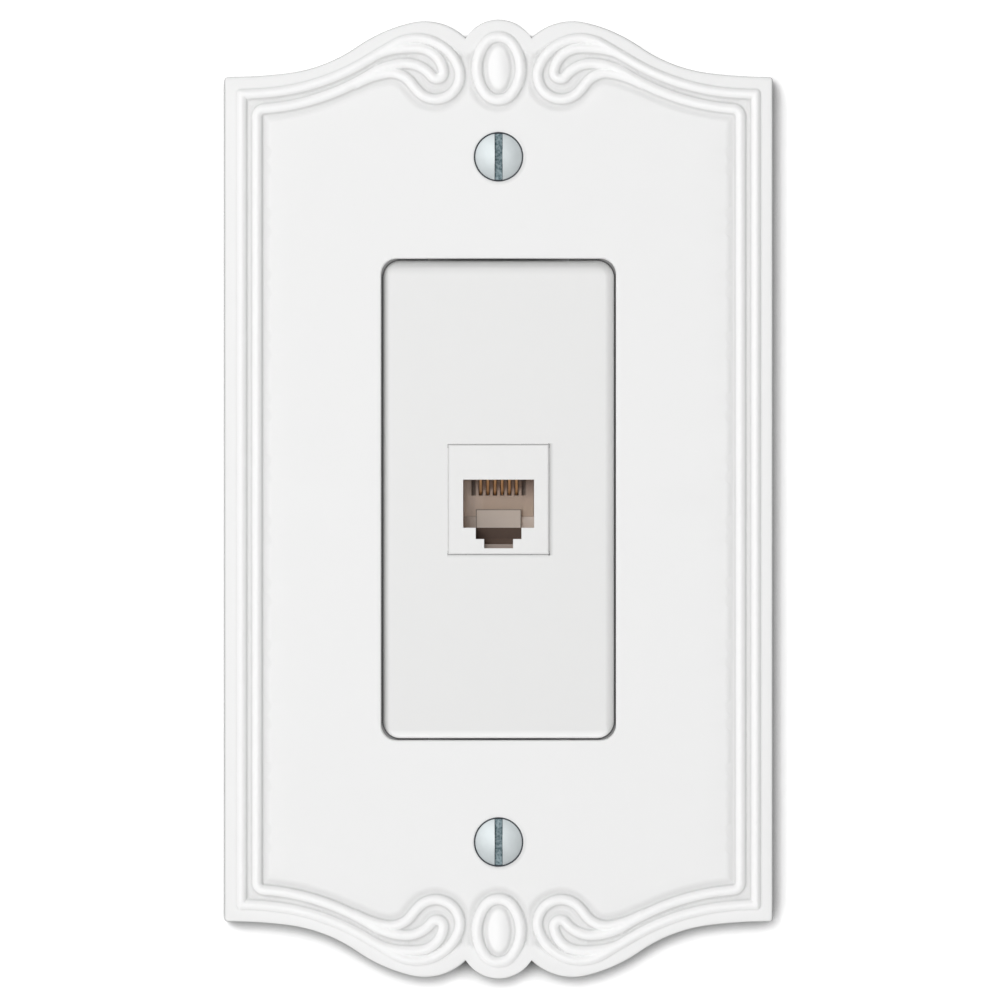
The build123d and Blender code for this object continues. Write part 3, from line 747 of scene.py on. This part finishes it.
def make_insert_face(material):
    # The insert with a crisper lower edge, and a hole that tapers to the jack's hairline gap
    face = cad_copy("insert_face", "insert_frame", lambda spot: True)
    flat_x, flat_z = INSERT_X - INSERT_R, INSERT_Z - INSERT_R
    for vertex in face.data.vertices:
        x, y, z = (value / MM for value in vertex.co)
        if y < INSERT_Y + 0.05 and abs(x) < JACK_HOLE_X + 0.02 and abs(z) < JACK_HOLE_Z + 0.02:
            if abs(x) > JACK_HOLE_X - 0.02:
                vertex.co.x -= (SNAP_FIT if x > 0 else -SNAP_FIT) * MM
            if abs(z) > JACK_HOLE_Z - 0.02:
                vertex.co.z -= (SNAP_FIT if z > 0 else -SNAP_FIT) * MM
        elif y < INSERT_Y + INSERT_EDGE_R and z < -flat_z:
            beside = max(abs(x) - flat_x, 0.0)
            below = -flat_z - z
            reach = hypot(beside, below)
            lean = (reach - INSERT_R + INSERT_EDGE_R) / INSERT_EDGE_R
            if -0.001 < lean < 1.001:
                lean = min(max(lean, 0.0), 1.0)
                share = min(max((below / reach - 0.3) / 0.5, 0.0), 1.0)
                radius = INSERT_EDGE_R + (INSERT_FOOT_R - INSERT_EDGE_R) * share
                grown_reach = INSERT_R - radius + radius * lean
                vertex.co.x += (grown_reach / reach - 1.0) * beside * (1 if x > 0 else -1) * MM
                vertex.co.z = (-flat_z - below * grown_reach / reach) * MM
                vertex.co.y = (INSERT_Y + radius * (1.0 - sqrt(1.0 - lean * lean))) * MM
    shift = INSERT_R - INSERT_CORNER_R
    for vertex in face.data.vertices:
        across, up = abs(vertex.co.x) / MM - flat_x, abs(vertex.co.z) / MM - flat_z
        reach = hypot(across, up)
        if across > -1e-3 and up > -1e-3 and reach > INSERT_R - INSERT_EDGE_R - 0.05:
            share = (reach - shift) / reach
            vertex.co.x = (flat_x + shift + across * share) * (1 if vertex.co.x > 0 else -1) * MM
            vertex.co.z = (flat_z + shift + up * share) * (1 if vertex.co.z > 0 else -1) * MM
    refill_front(face.data, INSERT_Y * MM)
    smoothed(face.data)
    face.data.materials.append(material)
    return face


def refill_front(mesh, level):
    # New triangles for the flat front, whose border has moved
    work = bmesh.new()
    work.from_mesh(mesh)
    front = [face for face in work.faces if all(abs(vertex.co.y - level) < 1e-6 for vertex in face.verts)]
    bmesh.ops.delete(work, geom=front, context="FACES")
    border = [edge for edge in work.edges if edge.is_boundary]
    bmesh.ops.triangle_fill(work, use_beauty=True, edges=border, normal=(0.0, -1.0, 0.0))
    bmesh.ops.recalc_face_normals(work, faces=work.faces)
    work.to_mesh(mesh)
    work.free()


def make_comb_wall(material):
    # The comb with its skirt, which closes the port's rear
    comb = cad_copy("comb_teeth", "contact_comb", lambda spot: True)
    skirt = Shell()
    for low_x, high_x, low_z, high_z in (
        (-SKIRT_X, SKIRT_X, SKIRT_Z, COMB_FOOT_Z),
        (-SKIRT_X, -COMB_X, COMB_FOOT_Z, SKIRT_TOP_Z),
        (COMB_X, SKIRT_X, COMB_FOOT_Z, SKIRT_TOP_Z),
    ):
        front = [(low_x, low_z), (high_x, low_z), (high_x, high_z), (low_x, high_z)]
        sides = [(k, 4 + k, 4 + (k + 1) % 4, (k + 1) % 4) for k in range(4)]
        skirt.add(at(front, COMB_Y) + at(front, COMB_BACK_Y), [(0, 1, 2, 3), (7, 6, 5, 4)] + sides)
    wall = joined("comb_wall", (comb, placed("comb_skirt", skirt.mesh("comb_skirt"))), material)
    for face in wall.data.polygons:
        face.use_smooth = False
    return wall


def spring_tree():
    # A flat-faced spring along the wire's path, one in each comb slot
    sizes = {"Count": "Int", "Pitch": "Float", "Half width": "Float", "Half thickness": "Float"}
    sizes.update({"Wire": "Float", "Material": "Material"})
    tree, given = shape_tree("contact_spring", sizes)
    start = given["Geometry"]
    path = start.node("GeometryNodeMeshToCurve", {}, {"Mesh": start})
    along = path.node("GeometryNodeSplineParameter")
    press = {"Value": along, "From Min": 0.50, "From Max": 0.60}
    pressed = along.node("ShaderNodeMapRange", {"interpolation_type": "SMOOTHSTEP"}, press)
    slim = given["Wire"] / given["Half width"]
    path = path.node("GeometryNodeSetCurveRadius", {}, {"Curve": path, "Radius": slim + (1.0 - slim) * pressed})
    round_wire = path.node("GeometryNodeCurvePrimitiveCircle", {}, {"Resolution": 16, "Radius": given["Half width"]})
    flat = given["Half thickness"] / given["Half width"]
    shape = flat.node("ShaderNodeCombineXYZ", {}, {"X": flat, "Y": 1.0, "Z": 1.0})
    section = path.node("GeometryNodeTransform", {}, {"Geometry": round_wire, "Scale": shape})
    spring = path.node("GeometryNodeCurveToMesh", {}, {"Curve": path, "Profile Curve": section, "Fill Caps": True})
    pitch = given["Pitch"]
    first = pitch.node("ShaderNodeCombineXYZ", {}, {"X": pitch * (given["Count"] - 1.0) / -2.0})
    step = pitch.node("ShaderNodeCombineXYZ", {}, {"X": pitch})
    places = {"Count": given["Count"], "Start Location": first, "Offset": step}
    row = pitch.node("GeometryNodeMeshLine", {}, places)
    springs = row.node("GeometryNodeInstanceOnPoints", {}, {"Points": row, "Instance": spring})
    finish_tree(tree, springs, given["Material"])
    return tree


def make_contact_springs(material):
    line = trace((CONTACT_START_Y, CONTACT_Z), 180.0, CONTACT_STEPS, 0.8)
    mesh = bpy.data.meshes.new("contact_path")
    points = [(0.0, y * MM, z * MM) for y, z, _ in line]
    mesh.from_pydata(points, [(k, k + 1) for k in range(len(points) - 1)], [])
    values = {
        "Count": CONTACTS,
        "Pitch": CONTACT_PITCH * MM,
        "Half width": CONTACT_HALF_W * MM,
        "Half thickness": CONTACT_HALF_T * MM,
        "Wire": CONTACT_WIRE_R * MM,
        "Material": material,
    }
    springs = grown("contact_springs", mesh, spring_tree(), values)
    outward(springs.data, 40)
    return springs


# Finishes


def finish(name):
    # A new material; gives its tree as a field, its surface node and the object's own place
    material = bpy.data.materials.new(name)
    material.use_nodes = True
    tree = material.node_tree
    surface = tree.nodes["Principled BSDF"]
    field = Field(tree)
    place = field.node("ShaderNodeTexCoord", {}, {}, "Object")
    return material, surface, place


SOCKETS = {
    "colour": "Base Color",
    "metallic": "Metallic",
    "roughness": "Roughness",
    "normal": "Normal",
    "gloss": "Specular IOR Level",
}


def wear(surface, **links):
    # Joins fields to the surface's sockets
    for name, value in links.items():
        target = surface.inputs[SOCKETS[name]]
        if isinstance(value, Field):
            value.tree.links.new(value.socket, target)
        else:
            target.default_value = value


def noise(place, scale, detail=3.0, rough=0.5):
    grain = {"Vector": place, "Scale": scale, "Detail": detail, "Roughness": rough}
    return place.node("ShaderNodeTexNoise", {}, grain, "Fac")


def blend(factor, first, second):
    colours = {"Factor_Float": factor, "A_Color": first, "B_Color": second}
    return factor.node("ShaderNodeMix", {"data_type": "RGBA"}, colours, 2)


def bumped(height, strength, distance):
    return height.node("ShaderNodeBump", {}, {"Strength": strength, "Distance": distance, "Height": height})


def fine_skin(surface, place):
    # Spark-eroded skin with the gloss of moulded plastic
    skin = noise(place, 2600.0, 2.0)
    wear(surface, normal=bumped(skin, 0.15, 0.00003), gloss=0.45)


def rgb(r, g, b):
    return (r, g, b, 1.0)


def grey(tone):
    return rgb(tone, tone, tone)


def axes(place):
    return [place.node("ShaderNodeSeparateXYZ", {}, {0: place}, axis) for axis in range(3)]


def ramped(value, low, high):
    # 0 below low, 1 above high
    return ((value - low) / (high - low)).clamped()


def enamel(name):
    # Sprayed white enamel: faint clouding and a fine orange-peel skin, with painted shade in the hollows, on the
    # screw seats and round the screw mouths, a painted highlight on the crests and a painted dark line at the edge
    material, surface, place = finish(name)
    cloud = noise(place, 55.0, 2.0)
    peel = noise(place, 1300.0, 2.0)
    colour = blend(cloud, rgb(0.868, 0.868, 0.866), rgb(0.892, 0.892, 0.890))
    hollow, crest, border = (
        place.node("ShaderNodeAttribute", {"attribute_name": label}, {}, "Fac")
        for label in ("hollow", "crest", "border")
    )
    x, y, z = axes(place)
    up = z - z.math("SIGN", z) * SCREW_Z * MM
    from_screw = x.math("SQRT", x * x + up * up)
    seat = (from_screw < (MOUTH_R - 0.02) * MM) * (y > (FIELD_Y + 0.06) * MM)
    # Painted shade in the hollows beside the beads
    colour = blend((hollow * 0.75).clamped(), colour, rgb(0.725, 0.725, 0.722))
    # Painted highlight on the beads, ring and egg
    colour = blend((crest * 0.95).clamped(), colour, rgb(0.99, 0.99, 0.988))
    # Painted dark line along the front edge
    colour = blend((border * 0.8).clamped(), colour, grey(0.34))
    # Painted shadow round each screw mouth, stronger to its lower right
    screw_shadow = 1.0 - ramped(from_screw, (MOUTH_R + 0.02) * MM, (MOUTH_R + 0.55) * MM)
    lee = ((x - up) / (from_screw * 1.42)).clamped()
    colour = blend(screw_shadow * (0.08 + lee * 0.34), colour, grey(0.40))
    # Painted shade on the screw seat between head and mouth
    colour = blend(seat, colour, rgb(0.055, 0.06, 0.07))
    wear(surface, colour=colour, roughness=0.48 + cloud * 0.08)
    wear(surface, normal=bumped(peel, 0.10, 0.00004), gloss=0.45)
    return material


def moulded(name, low, high, roughness):
    # Moulded plastic with small changes of tone
    material, surface, place = finish(name)
    tone = noise(place, 90.0, 3.0)
    wear(surface, colour=blend(tone, low, high), roughness=roughness + tone * 0.06)
    fine_skin(surface, place)
    return material


def plated(name, low, high, roughness, scale=900.0, metal=1.0):
    # Plated steel: mottled tone, fine scratches across the turning marks
    material, surface, place = finish(name)
    mottle = noise(place, scale, 4.0, 0.6)
    marks = noise(place, scale * 6.0, 2.0)
    wear(surface, colour=blend(mottle, low, high), metallic=metal, roughness=roughness + mottle * 0.14)
    wear(surface, normal=bumped(mottle * 0.6 + marks * 0.4, 0.35, 0.00003))
    return material


def screw_plating(name):
    # Nickel-plated oval head; the slot is darker and mottled, with painted shade on its walls
    material, surface, place = finish(name)
    x, y, _ = axes(place)
    mottle = noise(place, 900.0, 4.0, 0.6)
    fine_mottle = noise(place, 2600.0, 3.0, 0.6)
    aside = x.math("ABSOLUTE", x)
    slot = (aside < 0.57 * MM) * (y > -6.10 * MM) * (y < -5.20 * MM)
    # Painted shade on the slot's walls
    wall = slot * ramped(aside, 0.40 * MM, 0.54 * MM) * 0.8
    bright = blend(mottle, rgb(0.57, 0.61, 0.62), rgb(0.66, 0.70, 0.71))
    slot_tone = blend(ramped(fine_mottle, 0.38, 0.62), rgb(0.12, 0.18, 0.20), rgb(0.36, 0.45, 0.48))
    colour = blend(wall, blend(slot, bright, slot_tone), rgb(0.04, 0.06, 0.07))
    wear(surface, colour=colour, metallic=0.85 - slot * 0.6, roughness=0.62 + mottle * 0.08 + slot * 0.2)
    wear(surface, normal=bumped(mottle * 0.6 + fine_mottle * 0.4, 0.30, 0.00003))
    return material


def insert_skin(name):
    # Moulded white face, with painted shadow where the plate stands over its top and left margins, a painted
    # highlight on its lower edge and painted shade in the gap at the ears
    material, surface, place = finish(name)
    x, y, z = axes(place)
    tone = noise(place, 90.0, 3.0)
    dark = grey(0.05)
    colour = blend(tone, rgb(0.775, 0.775, 0.77), rgb(0.795, 0.795, 0.79))
    # Painted shadow of the plate on the insert's top and left margins
    top = (1.0 - ramped(INSERT_Z * MM - z, 0.0, 2.2 * MM)) ** 1.6
    left = 1.0 - ramped(x + INSERT_X * MM, 0.0, 0.8 * MM)
    # Painted highlight along the insert's lower edge
    foot = (1.0 - ramped(z + INSERT_Z * MM, 0.2 * MM, 1.2 * MM)) * (z > -(INSERT_Z + 0.1) * MM)
    colour = blend(foot, colour, rgb(0.96, 0.96, 0.955))
    shade = top.math("MAXIMUM", top * 0.42, left * 0.45) * (y < (FIELD_Y + PANEL_T) * MM)
    colour = blend(shade, colour, dark)
    level = z.math("ABSOLUTE", z)
    # Painted shade on a strip of the insert's top and bottom walls at the ears, seen through the gap
    behind = (level > (INSERT_Z - 0.05) * MM) * (level < (OPENING_Z + 0.1) * MM)
    behind = behind * (y > (EAR_Y - 0.1) * MM) * (y < (EAR_Y + 0.1) * MM)
    colour = blend(behind * 0.8, colour, dark)
    # Soft shade on the right of the jack, which stands a little proud, and below it
    right = 1.0 - ramped(x, (JACK_HOLE_X - SNAP_FIT) * MM, (JACK_HOLE_X + 0.65) * MM)
    right = right * right * (x > (JACK_HOLE_X - 0.3) * MM) * (level < JACK_HOLE_Z * MM)
    below = 1.0 - ramped(z, (SNAP_FIT - JACK_HOLE_Z) * MM, -(JACK_HOLE_Z + 0.45) * MM)
    below = below * below * (z < (0.3 - JACK_HOLE_Z) * MM) * (x.math("ABSOLUTE", x) < JACK_HOLE_X * MM)
    on_face = y < (INSERT_Y + 0.05) * MM
    colour = blend((right * 0.50 + below * 0.35) * on_face, colour, dark)
    wear(surface, colour=colour, roughness=0.38 + tone * 0.06)
    fine_skin(surface, place)
    return material


def jack_skin(name):
    # White housing; down in the port its tone is painted shade, warmer and darker, with painted light on the ledges
    material, surface, place = finish(name)
    x, y, z = axes(place)
    aside = x.math("ABSOLUTE", x)
    tone = noise(place, 160.0, 3.0)
    in_port = (aside < PORT_X * MM) * (z < PORT_TOP_Z * MM) * (z > PORT_LOW_Z * MM)
    in_port = in_port * ramped(y, PORT_MOUTH_Y * MM, PORT_DEEP_Y * MM)
    rear = ramped(y, REAR_START_Y * MM, REAR_END_Y * MM)
    ledge = rear * (aside > LEDGE_X * MM) * (z < LEDGE_Z * MM)
    pit = (z < PIT_Z * MM) * (y > PIT_Y * MM)
    foot = (z < STRIP_Z * MM) * (y < PIT_Y * MM)
    rim = ((aside > BLOCK_X[0] * MM) + (z > BLOCK_TOP_Z * MM)).clamped()
    rim = rim * (aside < BLOCK_X[1] * MM) * (y > BLOCK_Y[0] * MM) * (y < BLOCK_Y[1] * MM)
    face = blend(tone, rgb(0.765, 0.765, 0.76), rgb(0.785, 0.785, 0.78))
    # Painted shade and light in the port: lighter towards the rear and on the ledges, dark on the strip below, round
    # the stop block and in the pit
    port_shade_tone = blend(rear, rgb(0.64, 0.56, 0.495), rgb(0.92, 0.78, 0.68))
    port_shade_tone = blend(ledge, port_shade_tone, rgb(0.95, 0.92, 0.89))
    port_shade_tone = blend(foot, port_shade_tone, rgb(0.32, 0.26, 0.225))
    port_shade_tone = blend(rim * 0.8, port_shade_tone, rgb(0.16, 0.13, 0.11))
    port_shade_tone = blend(pit, port_shade_tone, rgb(0.080, 0.044, 0.027))
    wear(surface, colour=blend(in_port, face, port_shade_tone), roughness=0.34 + tone * 0.06 + in_port * 0.25)
    fine_skin(surface, place)
    return material


def comb_skin(name):
    # Warm grey moulding, paler on the skirt below the teeth, with painted light on its left part
    material, surface, place = finish(name)
    x, y, z = axes(place)
    tone = noise(place, 700.0, 3.0)
    teeth = blend(tone, rgb(0.47, 0.355, 0.295), rgb(0.55, 0.43, 0.365))
    skirt = blend(tone, rgb(0.50, 0.395, 0.315), rgb(0.55, 0.44, 0.355))
    colour = blend(ramped(z, 1.6 * MM, -0.6 * MM), teeth, skirt)
    # Painted light on the left part, which the port's left wall shades
    colour = blend(ramped(x, -2.0 * MM, -4.6 * MM) * (y < 5.3 * MM) * 0.8, colour, rgb(0.92, 0.80, 0.72))
    wear(surface, colour=colour, roughness=0.55 + tone * 0.08)
    fine_skin(surface, place)
    return material


def fibre(name):
    material, surface, place = finish(name)
    strands = noise(place, 2400.0, 4.0, 0.7)
    wear(surface, colour=blend(strands, rgb(0.34, 0.075, 0.05), rgb(0.50, 0.15, 0.10)), roughness=0.85)
    wear(surface, normal=bumped(strands, 0.5, 0.00006))
    return material


def laminate(name):
    # Glass-cloth board under a green mask
    material, surface, place = finish(name)
    weave = noise(place, 1500.0, 3.0)
    wear(surface, colour=blend(weave, rgb(0.030, 0.16, 0.08), rgb(0.055, 0.24, 0.125)), roughness=0.42 + weave * 0.1)
    wear(surface, normal=bumped(weave, 0.2, 0.00003))
    return material


FINISHES = {
    "plate_enamel": enamel("plate_enamel"),
    "screw_steel": screw_plating("screw_steel"),
    "insert_plastic": insert_skin("insert_plastic"),
    "box_screw_steel": plated("box_screw_steel", rgb(0.50, 0.49, 0.45), rgb(0.68, 0.67, 0.62), 0.30),
    "washer_fibre": fibre("washer_fibre"),
    "jack_plastic": jack_skin("jack_plastic"),
    "comb_plastic": comb_skin("comb_plastic"),
    "contact_gold": plated("contact_gold", rgb(1.0, 0.52, 0.20), rgb(1.0, 0.67, 0.35), 0.32, 700.0, 0.18),
    "board_laminate": laminate("board_laminate"),
    "block_plastic": moulded("block_plastic", rgb(0.76, 0.76, 0.74), rgb(0.79, 0.79, 0.77), 0.50),
    "terminal_metal": plated("terminal_metal", rgb(0.60, 0.60, 0.58), rgb(0.76, 0.76, 0.73), 0.32),
    "cap_plastic": moulded("cap_plastic", rgb(0.80, 0.80, 0.78), rgb(0.83, 0.83, 0.81), 0.36),
}


def dress_nodes():
    for part in frame["record"]["subparts"]:
        mesh = nodes[part["node"]].data
        mesh.materials.clear()
        mesh.materials.append(FINISHES[part["material_slot"]])


# Wall, floor, lights and camera


def panel(name, corners, faces, material):
    mesh = bpy.data.meshes.new(name)
    mesh.from_pydata(corners, [], faces)
    mesh.materials.append(material)
    made = placed(name, mesh)


def bare(name):
    # A new material without a surface, and its tree as a field
    material = bpy.data.materials.new(name)
    material.use_nodes = True
    material.node_tree.nodes.clear()
    return material, Field(material.node_tree)


def ray(field, kind):
    return field.node("ShaderNodeLightPath", {}, {}, kind)


def wall_paint(name, tone, shown):
    # White wall with painted shade: a dark line round the plate, and a wider painted shadow right of it and below
    material, field = bare(name)
    x, _, z = axes(field.node("ShaderNodeTexCoord", {}, {}, "Object"))
    lee = (ramped(x, *LEE_X) + ramped(z, *LEE_Z)).clamped()
    wide, narrow = (
        1.0 - field.node("ShaderNodeAmbientOcclusion", {"samples": 8}, {"Distance": reach}, "AO")
        for reach in (SHADOW_REACH, LINE_REACH)
    )
    thin = narrow * LINE_TONE
    close = thin.math("MAXIMUM", thin, lee * wide * SHADOW_TONE).clamped()
    paint = blend(ray(field, "Is Camera Ray"), tone, blend(close, shown, grey(0.0)))
    one_sided(field, field.node("ShaderNodeBsdfDiffuse", {}, {"Color": paint}))
    return material


def one_sided(field, shown):
    # Seen from the front only, and clear to the lamps behind it
    behind = field.node("ShaderNodeNewGeometry", {}, {}, "Backfacing")
    hidden = behind.math("MAXIMUM", behind, ray(field, "Is Shadow Ray"))
    clear = field.node("ShaderNodeBsdfTransparent")
    end = field.node("ShaderNodeMixShader", {}, {0: hidden, 1: shown, 2: clear})
    output = field.tree.nodes.new("ShaderNodeOutputMaterial")
    field.tree.links.new(end.socket, output.inputs["Surface"])


def gap_shade_glow():
    # Dim glowing panel behind the wall, painted shade seen through the gap round the insert; a little lighter,
    # painted light, where the insert's round corners leave it bare
    material, field = bare("gap_shade_glow")
    x, _, z = axes(field.node("ShaderNodeTexCoord", {}, {}, "Object"))
    aside = x.math("MAXIMUM", x.math("ABSOLUTE", x) - BARE_X, 0.0)
    above = z.math("MAXIMUM", z.math("ABSOLUTE", z) - BARE_Z, 0.0)
    corner = ramped(x.math("SQRT", aside * aside + above * above), 0.00258, 0.00280)
    corner = corner * ramped(aside, 0.0002, 0.0008) * ramped(above, 0.0002, 0.0008)
    dim = blend(corner, grey(0.075), grey(0.24))
    one_sided(field, field.node("ShaderNodeEmission", {}, {"Color": dim}))
    return material


def floor_paint():
    material, surface, place = finish("floor_paint")
    colour = blend(noise(place, 3.0, 2.0), grey(0.84), grey(0.87))
    seen = ray(place, "Is Camera Ray")
    wear(surface, colour=blend(seen, colour, grey(1.9)), roughness=0.8, gloss=0.1)
    return material


def lamp(name, place, power, size):
    data = bpy.data.lights.new(name, "AREA")
    data.energy = power
    data.size = size
    made = linked(name, data)
    made.location = place
    made.rotation_mode = "QUATERNION"
    made.rotation_quaternion = (Vector((0, 0, 0)) - Vector(place)).to_track_quat("-Z", "Y")
    made.visible_camera = False


def lights():
    # Powers follow from the share of the light that each gives on the front of the plate
    def lit(name, direction, distance, share, size):
        toward = Vector(direction).normalized()
        power = share * LAMP_POWER * distance**2 / -toward.y
        lamp(name, tuple(toward * distance), power, size)

    lit("key", (-0.13, -1.0, 0.12), 1.50, 0.455, 0.40)
    lit("side", (-0.75, -1.0, 0.75), 1.50, 0.203, 0.80)
    # Behind the plane of the wall, for the top, sides and back
    lamp("back", (0.20, 1.25, 0.35), 9.0, 0.6)
    lamp("top", (-0.10, 0.40, 1.05), 5.5, 0.5)
    lamp("right", (1.0, 0.5, 0.1), 1.2, 0.5)
    world = bpy.data.worlds.new("room")
    bpy.context.scene.world = world
    world.use_nodes = True
    tree = world.node_tree
    field = Field(tree)
    seen = ray(field, "Is Camera Ray")
    shown = seen.math("MAXIMUM", seen, ray(field, "Is Glossy Ray") * ROOM_SHEEN)
    ground = tree.nodes["Background"]
    ground.inputs["Color"].default_value = grey(1.0)
    strength = ROOM_LIGHT + shown.math("MAXIMUM", shown - ROOM_LIGHT, 0.0)
    tree.links.new(strength.socket, ground.inputs["Strength"])


def camera():
    data = bpy.data.cameras.new("camera")
    data.sensor_width = 36.0
    data.lens = 36.0 * CAMERA_DISTANCE / (PHOTO_MM_PER_PIXEL * MM * PHOTO_PIXELS)
    made = linked("camera", data)
    made.location = (CAMERA_X_MM * MM, FIELD_Y * MM - CAMERA_DISTANCE, CAMERA_Z_MM * MM)
    made.rotation_euler = (radians(90), 0, 0)
    data.clip_start, data.clip_end = 0.05, 10.0
    bpy.context.scene.camera = made


bpy.context.scene.view_settings.view_transform = "Standard"
dress_nodes()

plate = make_plate(FINISHES["plate_enamel"])
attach(plate, "root")
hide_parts("wall_plate")

box_screws = make_box_screws(FINISHES["box_screw_steel"])
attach(box_screws, "root")
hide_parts("mounting_screws")

insert_face = make_insert_face(FINISHES["insert_plastic"])
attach(insert_face, "root")
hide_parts("insert_frame")

comb_wall = make_comb_wall(FINISHES["comb_plastic"])
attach(comb_wall, "root")
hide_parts("contact_comb")

contact_springs = make_contact_springs(FINISHES["contact_gold"])
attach(contact_springs, "root")
for number in range(1, CONTACTS + 1):
    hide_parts(f"contact_wire_{number}")

wall = wall_paint("wall_paint", grey(0.30), grey(1.50))
wide = [(-1.2, WALL_Y, FLOOR_Z), (1.2, WALL_Y, FLOOR_Z), (1.2, WALL_Y, 1.4), (-1.2, WALL_Y, 1.4)]
corners = ((-1, -1), (1, -1), (1, 1), (-1, 1))
hole = [(x * HOLE_X, WALL_Y, z * HOLE_Z) for x, z in corners]
deep = [(x * 1.15, WALL_Y + RECESS_DEPTH, z * 1.1) for x, _, z in hole]
around = [(k, (k + 1) % 4, 4 + (k + 1) % 4, 4 + k) for k in range(4)]
panel("wall", wide + hole, around, wall)
# Glowing panel whose dim light is painted shade behind the gap
panel("wall_recess", deep, [(0, 1, 2, 3)], gap_shade_glow())
ground = [(-2.0, -2.0, FLOOR_Z), (2.0, -2.0, FLOOR_Z), (2.0, 2.0, FLOOR_Z), (-2.0, 2.0, FLOOR_Z)]
panel("floor", ground, [(0, 1, 2, 3)], floor_paint())
lights()
camera()
